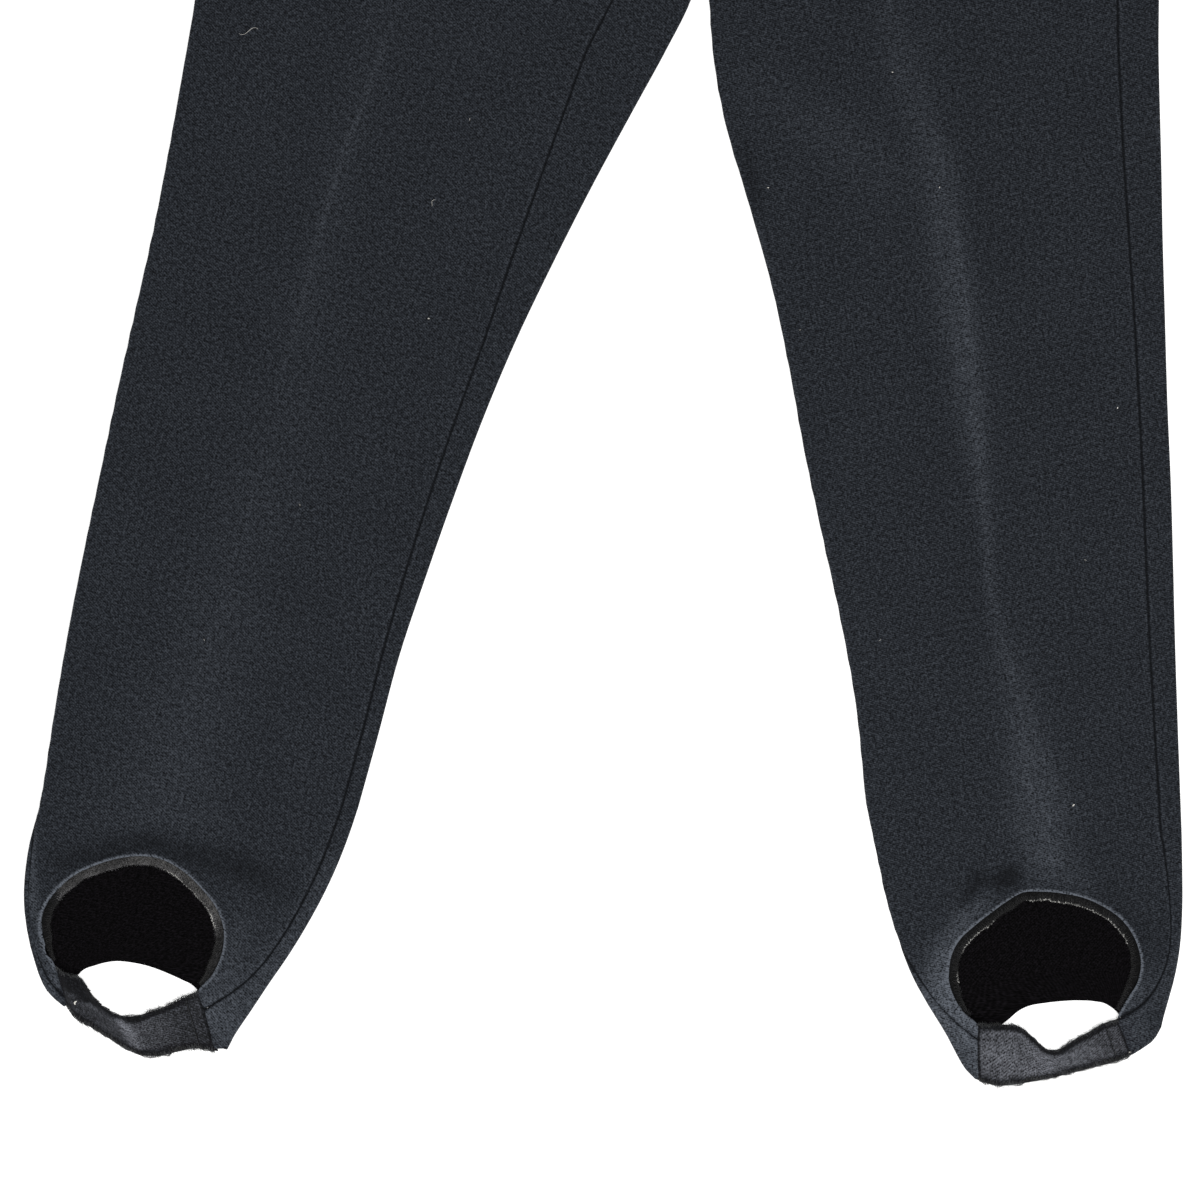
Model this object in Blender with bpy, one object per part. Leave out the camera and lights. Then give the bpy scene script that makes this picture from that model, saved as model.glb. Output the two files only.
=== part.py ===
"""Stirrup trousers of black stretch twill, laid flat with the front up.

Blender units are metres; the sizes below are millimetres and MM turns them into metres.
+X is the wearer's left, +Y runs to the waist and +Z is up from the surface that they lie on.
Lay coordinates start at the fork, where the inner folds of the two legs meet.
"""

import math

import bpy
import numpy as np

MM = 0.001

# Cloth and seams
CLOTH = 1.2  # wall of a panel
SEAM = 0.34  # two pieces are this far apart where a seam joins them
FOLD = 1.5  # radius of a side fold, to the middle of the wall
SILHOUETTE = FOLD + CLOTH / 2  # a side fold's outer radius
LOW = CLOTH / 2  # height of the middle of the cloth that lies on the surface
HIGH = LOW + 2 * FOLD  # height of the middle of the upper layer at a side fold

# Body of the trousers, above the fork
WAIST_SEAM = 262.0  # the waistband is sewn on here, measured up from the fork
WAISTBAND_TOP = 300.0
FORK_EASE, FORK_REACH = 0.8, 24.0  # the inseam's gap widens by this much over this far below the fork
BACK_TURN = 2.6  # width next to the back seam that turns into the inner fold below the fork
HIDDEN_SEAM = -2.3  # a seam half way round a side fold
BODY_COLUMNS = ("y", "outer_right", "outer_left", "centre", "outseam_left")
BODY = [
    (0, -308.0, 283.5, 0.0, 26.5),
    (40, -302.0, 276.5, -3.5, 26.0),
    (90, -290.0, 264.0, -8.0, 25.0),
    (140, -274.0, 248.0, -11.0, 24.0),
    (200, -249.5, 224.0, -12.5, 22.0),
    (262, -224.0, 199.0, -12.5, 21.0),
]

# Legs: outlines of the side folds, and how far the seams lie in from them on the upper layer
LEG_COLUMNS = ("y", "outer", "inner", "outseam", "inseam", "crease")
LEG_RIGHT = [
    (0, -308.0, -0.4, 0, 0.0, -170),
    (-5, -308.5, -0.6, 0, 0.8, -171),
    (-14, -309.2, -2.0, 0, 18.0, -174),
    (-30, -311.0, -6.0, 0, 47.0, -179),
    (-60, -312.5, -17.8, 0, 47.0, -189),
    (-100, -315.7, -35.2, 0, 41.0, -199),
    (-150, -320.0, -56.6, 0, 32.6, -212),
    (-200, -325.0, -76.5, 0, 25.5, -221),
    (-250, -331.5, -95.0, 0, 19.0, -231),
    (-300, -338.0, -110.8, 0, 16.2, -239),
    (-350, -343.8, -124.4, 0, 14.8, -247),
    (-400, -349.6, -137.0, 0, 13.0, -256),
    (-450, -354.8, -148.8, 0, 10.6, -267),
    (-500, -358.8, -157.4, 0, 10.0, -278),
    (-545, -361.5, -165.5, 0, 10.0, -288),
]
LEG_LEFT = [
    (0, 283.5, 0.4, 26.5, 0, 108),
    (-12, 284.5, 2.6, 26.2, 0, 114),
    (-30, 286.0, 5.8, 25.8, 0, 124),
    (-60, 289.3, 10.8, 25.0, 0, 139),
    (-100, 294.0, 21.5, 24.0, 0, 154),
    (-150, 299.5, 41.0, 21.5, 0, 168),
    (-200, 305.5, 60.0, 19.6, 0, 179),
    (-250, 311.5, 75.5, 18.2, 0, 189),
    (-300, 318.2, 89.4, 17.8, 0, 198),
    (-350, 324.2, 104.8, 17.2, 0, 207),
    (-400, 330.0, 120.6, 16.2, 0, 221),
    (-450, 336.2, 134.6, 15.0, 0, 238),
    (-515, 344.5, 147.5, 13.4, 0, 252),
]
HEM_STARTS = {"right": -545.0, "left": -515.0}

# Hems: from the last straight section of a leg to its arch, its strap seams and its heel edge.
# Columns of an edge are x and y; of a rim, share of the way from the outer to the inner fold, x and y.
# A seam's columns are share of the way down the hem and distance in from its side fold on the upper layer.
# The arch span and the heel corners are the shares of the rim where the strap's seams begin and end.
HEM = {
    "right": {
        "outer": [(-361.5, -545), (-363, -562), (-366, -581), (-367.6, -601), (-367, -621),
                  (-363.2, -641), (-356.5, -660), (-347.5, -677), (-336, -685.5)],
        "inner": [(-165.5, -545), (-169.2, -561), (-174.5, -580), (-181.5, -600), (-190, -620),
                  (-199.8, -640), (-211, -660), (-221.8, -680), (-229.5, -694), (-233, -703)],
        "arch": [(0.0, -336, -685.5), (0.03, -339.4, -673.5), (0.055, -343.2, -662), (0.085, -350, -652.5),
                 (0.115, -354.4, -640.5), (0.145, -354.4, -628), (0.18, -349, -616), (0.22, -338.5, -604.8),
                 (0.275, -324.5, -596.2), (0.335, -311, -590.8), (0.40, -297.5, -588), (0.47, -283.5, -589),
                 (0.54, -269.5, -595.3), (0.61, -256.4, -606), (0.67, -247.3, -616.2), (0.72, -242, -627.5),
                 (0.765, -241, -639), (0.81, -243.4, -650.5), (0.85, -247.8, -660), (0.885, -254, -668),
                 (0.92, -249.6, -679), (0.955, -244.6, -692), (0.98, -240.6, -702.6), (1.0, -233, -703)],
        "arch_span": (0.055, 0.885),
        "heel_corners": (0.0, 0.98),
        "heel": [(0.0, -336, -685.5), (0.06, -333.8, -674), (0.13, -328.4, -663.6), (0.22, -319, -658.2),
                 (0.32, -308, -654.8), (0.42, -297, -654.6), (0.52, -286, -656), (0.62, -275, -659),
                 (0.71, -265.5, -662.3), (0.79, -257, -666), (0.87, -248, -676.5), (0.94, -240, -690),
                 (1.0, -233, -703)],
        "outseam": [(0.0, HIDDEN_SEAM), (0.25, HIDDEN_SEAM), (0.5, 0.6), (0.75, 1.8), (1.0, 2.6)],
        "inseam": [(0.0, 7.9), (0.4, 7.2), (0.75, 8.6), (1.0, 15.2)],
    },
    "left": {
        "outer": [(344.5, -515), (347, -538), (349.2, -562), (349.8, -588), (347.6, -610), (344, -628),
                  (342.3, -639), (338, -646.2), (331.5, -651.4), (326, -655.5)],
        "inner": [(147.5, -515), (153.5, -534), (159.8, -555), (166.2, -575), (173, -592), (181, -609),
                  (190, -625), (200, -639), (210.5, -653), (218, -665), (224.5, -674), (231.3, -679.5)],
        "arch": [(0.0, 326, -655.5), (0.03, 320.6, -644.5), (0.06, 315.2, -633.6), (0.085, 319, -622.8),
                 (0.115, 324.4, -612.5), (0.15, 326.5, -602), (0.19, 325, -591.5), (0.235, 319.5, -580.5),
                 (0.285, 311.5, -571.8), (0.34, 301, -565.6), (0.40, 288, -561), (0.465, 274, -559.3),
                 (0.525, 261, -559.3), (0.575, 249.8, -560.8), (0.625, 241, -566.6), (0.68, 231, -575.3),
                 (0.735, 220.5, -585.3), (0.775, 213.5, -593.2), (0.81, 209.4, -602), (0.845, 208.2, -612.4),
                 (0.88, 209.8, -623), (0.905, 214.5, -632), (0.925, 221, -639.5), (0.937, 228.4, -643.6),
                 (0.94, 229.4, -644.4), (0.944, 229.6, -646.6), (0.957, 230, -654), (0.98, 231, -669),
                 (1.0, 231.3, -679.5)],
        "arch_span": (0.06, 0.94),
        "heel_corners": (0.0, 1.0),
        "heel": [(0.0, 326, -655.5), (0.05, 323, -643), (0.11, 317, -632), (0.18, 309, -626),
                 (0.27, 300, -624.4), (0.36, 290, -624.8), (0.46, 281, -626), (0.56, 270, -628.2),
                 (0.65, 260, -631), (0.72, 253.5, -635), (0.78, 247.6, -641), (0.84, 241.4, -647),
                 (0.89, 236.4, -654), (0.94, 233, -665), (1.0, 231.3, -679.5)],
        "outseam": [(0.0, 11.3), (0.4, 8.6), (0.7, 6.4), (0.9, 9.0), (1.0, 11.5)],
        "inseam": [(0.0, HIDDEN_SEAM), (0.6, HIDDEN_SEAM), (0.8, 1.0), (1.0, 8.2)],
    },
}

# Straps, from the outer to the inner tab: columns are x and y of each edge.
# The drop gives the shares of the length where a strap leaves a tab's level and where it lies down.
STRAP_WALL = 1.4
STRAP_OFF_TAB = 0.75
STRAP_CORNER = 1.8  # how far its heel corners reach past the tabs' last seam point
STRAP_STATIONS, STRAP_LINES = 25, 5
STRAPS = {
    "right": {
        "toe": [(-334.5, -665.5), (-327.5, -667), (-323.6, -672.3), (-319, -678), (-312, -683.8),
                (-303.5, -687.6), (-295, -688), (-282.1, -683.6), (-269, -677), (-261, -672)],
        "heel": [(-327.5, -692), (-320, -695.8), (-309, -701.6), (-298, -707), (-289, -710.6),
                 (-276, -711), (-263, -706.8), (-252, -703.6)],
        "drop": (0.08, 0.36, 0.66, 0.93),
    },
    "left": {
        "toe": [(308, -636.6), (299, -643), (290, -649.4), (280.5, -656.2), (274, -656.8),
                (264, -650), (255.5, -644.2), (244, -643.6)],
        "heel": [(317, -659.8), (305, -664.6), (293, -669), (280, -673.6), (267, -677.4),
                 (254, -680.4), (243, -681.6)],
        "drop": (0.05, 0.32, 0.62, 0.88),
    },
}

# Folds of the upper layer: two ends, height at the middle and half width
FOLD_COLUMNS = ("x0", "y0", "x1", "y1", "height", "width")
SOFT_FOLDS = {
    "right": [
        (-296, 10, -262, -150, 1.3, 17),
        (-120, 5, -150, -120, 1.2, 15),
        (-300, -200, -240, -330, 0.9, 16),
        (-165, -230, -205, -350, 0.8, 13),
        (-315, -420, -250, -520, 0.8, 14),
        (-205, -500, -232, -600, 0.9, 10),
    ],
    "left": [
        (250, 20, 262, -140, 1.3, 16),
        (60, 15, 96, -110, 1.1, 14),
        (140, -215, 212, -330, 0.9, 16),
        (280, -330, 262, -450, 0.8, 14),
        (185, -440, 206, -560, 0.9, 11),
        (310, -470, 326, -560, 0.7, 10),
    ],
}
CROWN_BODY, CROWN_HEM = 2.6, 1.4  # air between the layers, at the fork and at the hem
CROWN_REACH = 34.0  # how far in from a side fold the upper layer takes to rise
CREASE_HEIGHT, CREASE_WIDTH = 0.9, 3.2
CREASE_TOP, CREASE_TOP_FADE = 90.0, 140.0  # the crease ends here in the body, and fades over this much
CREASE_FOOT, CREASE_FOOT_FADE = -640.0, 200.0
LIP_HEIGHT, LIP_WIDTH = 1.1, 4.5  # the rolled edge of an arch
LIP_HOLLOW = 12.0  # width of the low band behind it
LIP_ENDS, LIP_PLACES = 0.06, 90  # it fades over this share of the rim
LIP_ROOM = 24.0  # it is lower where the cloth beside the arch is narrower than this

# Bands inside the arches
FACING_WALL = 0.8
FACING_UNDER, FACING_SHOWS = 2.6, 5.6
FACING_LEVEL, FACING_DROP = 2.28, 0.28
FACING_INSET, FACING_TAPER = 0.012, 0.06  # shares of the rim
FACING_STATIONS = 34

# Waistband and button
BAND_WALL = 2.0
BAND_LAP_LEFT, BAND_LAP_RIGHT = 24.0, 16.0  # how far its ends reach past the centre front
BAND_LAP_RISE = 26.0
BAND_NARROWS = 0.028  # share of its length that it loses from its seam to its top
BUTTON_RADIUS, BUTTON_THICK, BUTTON_RIM, BUTTON_DISH = 9.0, 2.6, 1.6, 0.8
BUTTON_OFF_CENTRE = 4.0

# The lay coordinates of the middle of the whole garment
CENTRE_X, CENTRE_Y = -8.78, -205.62

# Rows of the panels
BODY_ROWS = (WAIST_SEAM - SEAM, 215.0, 172.0, 129.0, 86.0, 46.0, 14.0)
LEG_STEP = 31.0
FORK_ROWS = (0.0, -3.0, -5.0, -7.0, -9.5, -13.0, -22.0, -34.0)
HEM_PULL = 0.3  # share of the width over which a hem's rows follow its curved sides
PATCH_ROWS, PATCH_PLACES, PATCH_ROUNDS = 41, 161, 700
SLIDE_EVERY, SLIDE_EASE, SLIDE_GAP, FOLD_PLACES = 4, 0.3, 0.004, 301
HEM_ROWS = (0.0, 0.16, 0.32, 0.47, 0.6, 0.72, 0.82, 0.9, 0.96, 1.0)
FRONT_ENDS = (0.0, 0.005, 0.013, 0.03, 0.055, 0.08, 0.105, 0.135, 0.17)
FRONT_MIDDLE = 11
ARC_STEPS = 4
TOP_STEPS = (0.12, 0.4, 0.7, 1.0)
UNDER_STEPS = 14


def clear_scene():
    for thing in list(bpy.data.objects):
        bpy.data.objects.remove(thing, do_unlink=True)


def smooth_read(at, known, values):
    """Values between the rows of a table, on a curve with no overshoot."""
    known, values = np.asarray(known, float), np.asarray(values, float)
    if known[0] > known[-1]:
        known, values = known[::-1], values[::-1]
    step = np.diff(known)
    slope = np.diff(values) / step
    bend = np.zeros(len(known))
    same_way = slope[:-1] * slope[1:] > 0
    weight = step[:-1] + step[1:]
    mean = (slope[:-1] * step[1:] + slope[1:] * step[:-1]) / weight
    limit = 3 * np.minimum(abs(slope[:-1]), abs(slope[1:]))
    bend[1:-1] = np.where(same_way, np.sign(mean) * np.minimum(abs(mean), limit), 0)
    bend[0], bend[-1] = slope[0], slope[-1]
    at = np.clip(at, known[0], known[-1])
    i = np.clip(np.searchsorted(known, at, side="right") - 1, 0, len(step) - 1)
    t = (at - known[i]) / step[i]
    ends = values[i] * (1 + 2 * t) * (1 - t) ** 2 + values[i + 1] * t * t * (3 - 2 * t)
    return ends + step[i] * (bend[i] * t * (1 - t) ** 2 - bend[i + 1] * t * t * (1 - t))


def path_read(at, known, points):
    """Points along a smooth line through some points, with a share known for each."""
    known, points = np.asarray(known, float), np.asarray(points, float)
    tangent = np.gradient(points, known, axis=0)
    at = np.clip(at, 0, 1)
    i = np.clip(np.searchsorted(known, at, side="right") - 1, 0, len(known) - 2)
    step = (known[i + 1] - known[i])[:, None]
    t = (at[:, None] - known[i][:, None]) / step
    ends = points[i] * (1 + 2 * t) * (1 - t) ** 2 + points[i + 1] * t * t * (3 - 2 * t)
    return ends + step * (tangent[i] * t * (1 - t) ** 2 - tangent[i + 1] * t * t * (1 - t))


def along(points):
    """The share of a line's length at each of its points."""
    run = np.concatenate([[0], np.cumsum(np.linalg.norm(np.diff(points, axis=0), axis=1))])
    return run / run[-1]


def table_read(table, columns, name, y):
    rows = np.array(table, float)
    return smooth_read(np.atleast_1d(float(y)), rows[:, 0], rows[:, columns.index(name)])[0]


def ease(t):
    t = np.clip(t, 0, 1)
    return t * t * (3 - 2 * t)


class Leg:
    """One leg with its half of the body, laid flat.

    A girth place is measured in millimetres along the upper layer from the outer side fold.
    It is below 0 round the outer fold and above the row's width round the inner one.
    """

    def __init__(self, side):
        self.side = side
        self.sign = -1 if side == "right" else 1
        self.table = LEG_RIGHT if side == "right" else LEG_LEFT
        self.hem = HEM[side]
        self.hem_start = HEM_STARTS[side]
        self.patches, self.side_places, self.fine_folds = {}, {}, {}
        self.columns = None

    def leg_value(self, name, y):
        return table_read(self.table, LEG_COLUMNS, name, y)

    def slant(self, name, y):
        """Outward direction of a side fold's outline at a height on the leg."""
        run = self.leg_value(name, y + 5) - self.leg_value(name, y - 5)
        across = np.array([10.0, -run]) / math.hypot(10.0, run)
        return across * (self.sign if name == "outer" else -self.sign)

    def seam_place(self, name, y):
        """Distance of a seam from its fold's start on the upper layer; below 0 it is on the fold."""
        far_in = self.leg_value(name, y)
        return far_in - SILHOUETTE if far_in > SILHOUETTE else HIDDEN_SEAM + far_in

    def body_slant(self, y):
        """Outward direction of the body's outline."""
        column = "outer_" + self.side
        above, below = (table_read(BODY, BODY_COLUMNS, column, at) for at in (y + 5, y - 5))
        run = above - below
        return np.array([10.0, -run]) / math.hypot(10.0, run) * self.sign

    def body_row(self, y):
        centre = table_read(BODY, BODY_COLUMNS, "centre", y) + self.sign * SEAM / 2
        outline = table_read(BODY, BODY_COLUMNS, "outer_" + self.side, y)
        out_way = self.body_slant(y)
        outer = np.array([outline, y]) - SILHOUETTE * out_way
        inner = np.array([centre, y])
        turn = inner + [self.sign * BACK_TURN, 0]
        hidden = self.side == "right"
        seam = HIDDEN_SEAM if hidden else table_read(BODY, BODY_COLUMNS, "outseam_left", y) - SILHOUETTE
        return {
            "top": [outer, inner], "bottom": [outer, turn], "width": np.linalg.norm(inner - outer),
            "out_way": out_way, "in_way": None, "rise": 3.0 * y,
            "outseam": seam, "front_in": 0.0, "back_in": HIDDEN_SEAM, "crown": CROWN_BODY,
            "gap": SEAM,
        }

    def leg_row(self, y):
        out_way, in_way = self.slant("outer", y), self.slant("inner", y)
        outer = np.array([self.leg_value("outer", y), y]) - SILHOUETTE * out_way
        inner = np.array([self.leg_value("inner", y), y]) - SILHOUETTE * in_way
        share = ease(y / self.hem_start)
        inseam = self.seam_place("inseam", y)
        return {
            "top": [outer, inner], "bottom": [outer, inner], "width": np.linalg.norm(inner - outer),
            "out_way": out_way, "in_way": in_way, "rise": 0.0,
            "outseam": self.seam_place("outseam", y), "front_in": inseam, "back_in": inseam,
            "crown": CROWN_BODY + (CROWN_HEM - CROWN_BODY) * share,
            "gap": SEAM + FORK_EASE * ease(1 + y / FORK_REACH),
        }

    def hem_edge(self, name, t):
        """A point of a side fold's outline in the hem, and its outward direction."""
        line = np.array(self.hem[name], float)
        known = along(line)
        at = np.array([t, min(t + 0.01, 1.0), max(t - 0.01, 0.0)])
        here, ahead, behind = path_read(at, known, line)
        way = (ahead - behind) / np.linalg.norm(ahead - behind)
        across = np.array([-way[1], way[0]])
        turn = self.sign if name == "outer" else -self.sign
        return here, across * turn

    def side_line(self, name):
        line = np.array(self.hem[name], float)
        return path_read(np.linspace(0, 1, 41), along(line), line)

    def hem_rim(self, name, shares):
        rim = np.array(self.hem[name], float)
        return path_read(shares, rim[:, 0], rim[:, 1:])

    def fold_line(self, name, places):
        """Where a side fold starts on the upper layer of the hem."""
        near = [self.hem_edge(name, t) for t in places]
        return np.array([point - SILHOUETTE * way for point, way in near])

    def slide(self, grid, column, name):
        """Moves the ends of the rows along a side fold, so that they meet it squarely."""
        line, places = self.fine_folds[name], self.side_places[name]
        beside = grid[1:-1, 1 if column == 0 else -2]
        gaps = np.linalg.norm(beside[:, None] - line[None], axis=2)
        wanted = gaps.argmin(axis=1) / (len(line) - 1)
        places[1:-1] += SLIDE_EASE * (wanted - places[1:-1])
        least = SLIDE_GAP * np.arange(len(places))
        places[:] = np.clip(np.maximum.accumulate(places - least) + least, least, 1 - least[::-1])
        known = np.linspace(0, 1, len(line))
        grid[1:-1, column] = np.stack([np.interp(places[1:-1], known, line[:, k]) for k in (0, 1)], axis=1)

    def hem_patch(self, layer):
        """The hem's rows in plan, from the last straight section to a rim, evened out so that no two cross."""
        if layer in self.patches:
            return self.patches[layer]
        downs, shares = np.linspace(0, 1, PATCH_ROWS), np.linspace(0, 1, PATCH_PLACES)
        if layer == "top":
            for name in ("outer", "inner"):
                self.side_places[name] = downs.copy()
                self.fine_folds[name] = self.fold_line(name, np.linspace(0, 1, FOLD_PLACES))
        edges = {name: self.fold_line(name, self.side_places[name]) for name in ("outer", "inner")}
        t, s = downs[:, None, None], shares[None, :, None]
        outer, inner = edges["outer"][:, None], edges["inner"][:, None]
        rim = self.hem_rim("arch" if layer == "top" else "heel", shares)[None]
        rim = rim + (outer[-1] - rim[:, 0]) * (1 - ease(s / 0.05))
        rim = rim + (inner[-1] - rim[:, -1]) * ease((s - 0.97) / 0.03)
        section = (1 - s) * outer[0] + s * inner[0]
        grid = (1 - t) * section + t * rim
        for edge, pull in ((outer, 1 - ease(s / HEM_PULL)), (inner, ease((s - 1 + HEM_PULL) / HEM_PULL))):
            grid = grid + pull * (edge - (1 - t) * edge[0] - t * edge[-1])
        for count in range(PATCH_ROUNDS):
            if layer == "top" and count % SLIDE_EVERY == SLIDE_EVERY - 1:
                self.slide(grid, 0, "outer")
                self.slide(grid, -1, "inner")
            down, across = (grid[2:, 1:-1] - grid[:-2, 1:-1]) / 2, (grid[1:-1, 2:] - grid[1:-1, :-2]) / 2
            long, wide = (down**2).sum(axis=2, keepdims=True), (across**2).sum(axis=2, keepdims=True)
            slant = (down * across).sum(axis=2, keepdims=True)
            twist = grid[2:, 2:] - grid[2:, :-2] - grid[:-2, 2:] + grid[:-2, :-2]
            beside, beyond = grid[1:-1, 2:] + grid[1:-1, :-2], grid[2:, 1:-1] + grid[:-2, 1:-1]
            grid[1:-1, 1:-1] = (long * beside + wide * beyond - slant * twist / 2) / (2 * (long + wide))
        self.patches[layer] = grid
        return grid

    def hem_row(self, t):
        """A row between the last straight section and the rim."""
        row = dict(self.leg_row(self.hem_start))
        place = t * (PATCH_ROWS - 1)
        above = min(int(place), PATCH_ROWS - 2)
        for layer in ("top", "bottom"):
            patch = self.hem_patch(layer)
            row[layer] = list(patch[above] + (patch[above + 1] - patch[above]) * (place - above))
            row[layer + "_rim"] = patch[-1]
        ways = {}
        for name, places in self.side_places.items():
            along_side = places[above] + (places[above + 1] - places[above]) * (place - above)
            ways[name] = self.hem_edge(name, along_side)[1]
        seams = {name: np.array(self.hem[name], float) for name in ("outseam", "inseam")}
        for name in seams:
            row[name] = smooth_read(np.array([t]), seams[name][:, 0], seams[name][:, 1])[0]
        row.update(
            out_way=ways["outer"], in_way=ways["inner"], front_in=row["inseam"], back_in=row["inseam"],
            crown=CROWN_HEM * (1 - 0.8 * ease((t - 0.3) / 0.7)), t=t,
        )
        return row

    def tab_end(self, name):
        """The toe and heel corners of a strap where it meets a tab."""
        k = 0 if name == "outer" else 1
        shares = (self.hem["arch_span"][k], self.hem["heel_corners"][k])
        rim = np.array(self.hem_row(1.0)["top_rim"])
        known = np.linspace(0, 1, len(rim))
        toe, heel = (np.array([np.interp(share, known, rim[:, k]) for k in (0, 1)]) for share in shares)
        way = (heel - toe) / np.linalg.norm(heel - toe)
        off = np.array([-way[1], way[0]])
        towards_strap = -self.sign if name == "outer" else self.sign
        off = off * np.sign(off[0]) * towards_strap
        return toe + STRAP_OFF_TAB * off, heel + STRAP_OFF_TAB * off + STRAP_CORNER * way

    def rows(self, leg_step=LEG_STEP):
        places = [self.body_row(y) for y in BODY_ROWS] + [self.leg_row(y) for y in FORK_ROWS]
        count = round((FORK_ROWS[-1] - self.hem_start) / leg_step)
        places += [self.leg_row(y) for y in np.linspace(FORK_ROWS[-1], self.hem_start, count + 1)[1:]]
        return places + [self.hem_row(t) for t in HEM_ROWS[1:]]

    def relief(self, row, shares, plan):
        """How far the upper layer stands above its side folds."""
        width = row["width"]
        from_out, from_in = shares * width, (1 - shares) * width + row["rise"]
        room = (1 - np.exp(-from_out / CROWN_REACH)) * (1 - np.exp(-from_in / CROWN_REACH))
        up = row["crown"] * room
        for values in SOFT_FOLDS[self.side]:
            fold = dict(zip(FOLD_COLUMNS, values))
            start = np.array([fold["x0"], fold["y0"]])
            way = np.array([fold["x1"], fold["y1"]]) - start
            run = np.clip(((plan - start) @ way) / (way @ way), 0, 1)
            gap = np.linalg.norm(plan - start - run[:, None] * way, axis=1)
            swell = np.sin(math.pi * (0.15 + 0.7 * run))
            up = up + fold["height"] * room * swell * np.exp(-((gap / fold["width"]) ** 2))
        crease_at = np.array([self.leg_value("crease", y) for y in plan[:, 1]])
        fade = ease((plan[:, 1] - CREASE_FOOT) / CREASE_FOOT_FADE)
        fade = fade * ease((CREASE_TOP - plan[:, 1]) / CREASE_TOP_FADE)
        up = up + CREASE_HEIGHT * fade * np.exp(-(((plan[:, 0] - crease_at) / CREASE_WIDTH) ** 2))
        if "t" in row:
            low, high = self.hem["arch_span"]
            rim_shares = np.linspace(low, high, LIP_PLACES)
            gaps = np.linalg.norm(plan[:, None] - self.hem_rim("arch", rim_shares)[None], axis=2)
            nearest = rim_shares[gaps.argmin(axis=1)]
            gap = gaps.min(axis=1)
            inside = ease((nearest - low) / LIP_ENDS) * ease((high - nearest) / LIP_ENDS)
            sides = np.concatenate([self.side_line("outer"), self.side_line("inner")])
            arch = self.hem_rim("arch", nearest)
            beside = np.linalg.norm(arch[:, None] - sides[None], axis=2).min(axis=1)
            inside = inside * ease(beside / LIP_ROOM)
            up = up * (1 - 0.5 * inside * np.exp(-gap / LIP_HOLLOW))
            up = up + LIP_HEIGHT * inside * np.exp(-((gap / LIP_WIDTH) ** 2))
        return up

    def point(self, row, girth):
        """Points of the middle of the cloth at some girth places of a row."""
        girth = np.asarray(girth, float)
        width, half_turn = row["width"], math.pi * FOLD
        layers = {}
        for name in ("top", "bottom"):
            line = np.array(row[name])
            known = np.linspace(0, 1, len(line))
            layers[name] = (known, line)
        result = np.zeros((len(girth), 3))

        def read(name, share):
            known, line = layers[name]
            return np.stack([np.interp(share, known, line[:, k]) for k in (0, 1)], axis=1)

        on_top = (girth >= 0) & (girth <= width)
        share = np.clip(girth / width, 0, 1)
        plan = read("top", share)
        lift = HIGH + self.relief(row, share, plan)
        result[on_top] = np.column_stack([plan, lift])[on_top]
        for start, past, way in ((0, -girth, row["out_way"]), (1, girth - width, row["in_way"])):
            on_fold = (past > 0) & (past <= half_turn)
            under = past > half_turn
            base = read("top" if way is not None else "bottom", np.full(len(girth), float(start)))
            if way is None:
                turn = (half_turn - past) / (half_turn + row["back_in"])
                spot = base + turn[:, None] * np.array([-self.sign * (BACK_TURN - SEAM / 2), 0])
                fold = np.column_stack([spot, np.full(len(girth), LOW)])
            else:
                angle = past / FOLD
                spot = base + FOLD * np.sin(angle)[:, None] * way
                fold = np.column_stack([spot, LOW + FOLD + FOLD * np.cos(angle)])
            result[on_fold] = fold[on_fold]
            inwards = np.clip((past - half_turn) / width, 0, 1)
            flat = read("bottom", inwards if start == 0 else 1 - inwards)
            result[under] = np.column_stack([flat, np.full(len(girth), LOW)])[under]
        return result

    def front_span(self, row):
        gap = row["gap"] / 2 if row["in_way"] is not None else 0
        return row["outseam"] + SEAM / 2, row["width"] - row["front_in"] - gap

    def front_columns(self):
        """Shares of the front's width for its columns; one of them meets each corner of the arch."""
        ends = np.array(FRONT_ENDS)
        middle = np.linspace(ends[-1], 1 - ends[-1], FRONT_MIDDLE + 2)[1:-1]
        shares = np.concatenate([ends, middle, 1 - ends[::-1]])
        row = self.hem_row(1.0)
        first, last = self.front_span(row)
        for corner in self.hem["arch_span"]:
            share = (corner * row["width"] - first) / (last - first)
            if shares[1] < share < shares[-2]:
                shares[abs(shares - share).argmin()] = share
        return shares

    def front_girths(self, row):
        if self.columns is None:
            self.columns = self.front_columns()
        first, last = self.front_span(row)
        return first + (last - first) * self.columns

    def wrap_girths(self, seam_in, gap):
        """Distances from the underside to a seam, round a side fold."""
        total = math.pi * FOLD + seam_in - gap / 2
        on_top = max(seam_in - gap / 2, 0.15 * total)
        arc = total - on_top
        places = [arc * k / ARC_STEPS for k in range(ARC_STEPS + 1)]
        return np.array(places + [arc + on_top * share for share in TOP_STEPS])

    def back_girths(self, row):
        """Girth places from the inner seam, under the leg, to the outer seam."""
        half_turn = math.pi * FOLD
        inner = row["width"] + half_turn - self.wrap_girths(row["back_in"], row["gap"])
        outer = -half_turn + self.wrap_girths(row["outseam"], SEAM)
        under = row["width"] * np.linspace(0, 1, UNDER_STEPS + 1)[1:-1]
        return np.concatenate([inner[::-1], row["width"] + half_turn + under, outer])


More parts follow.
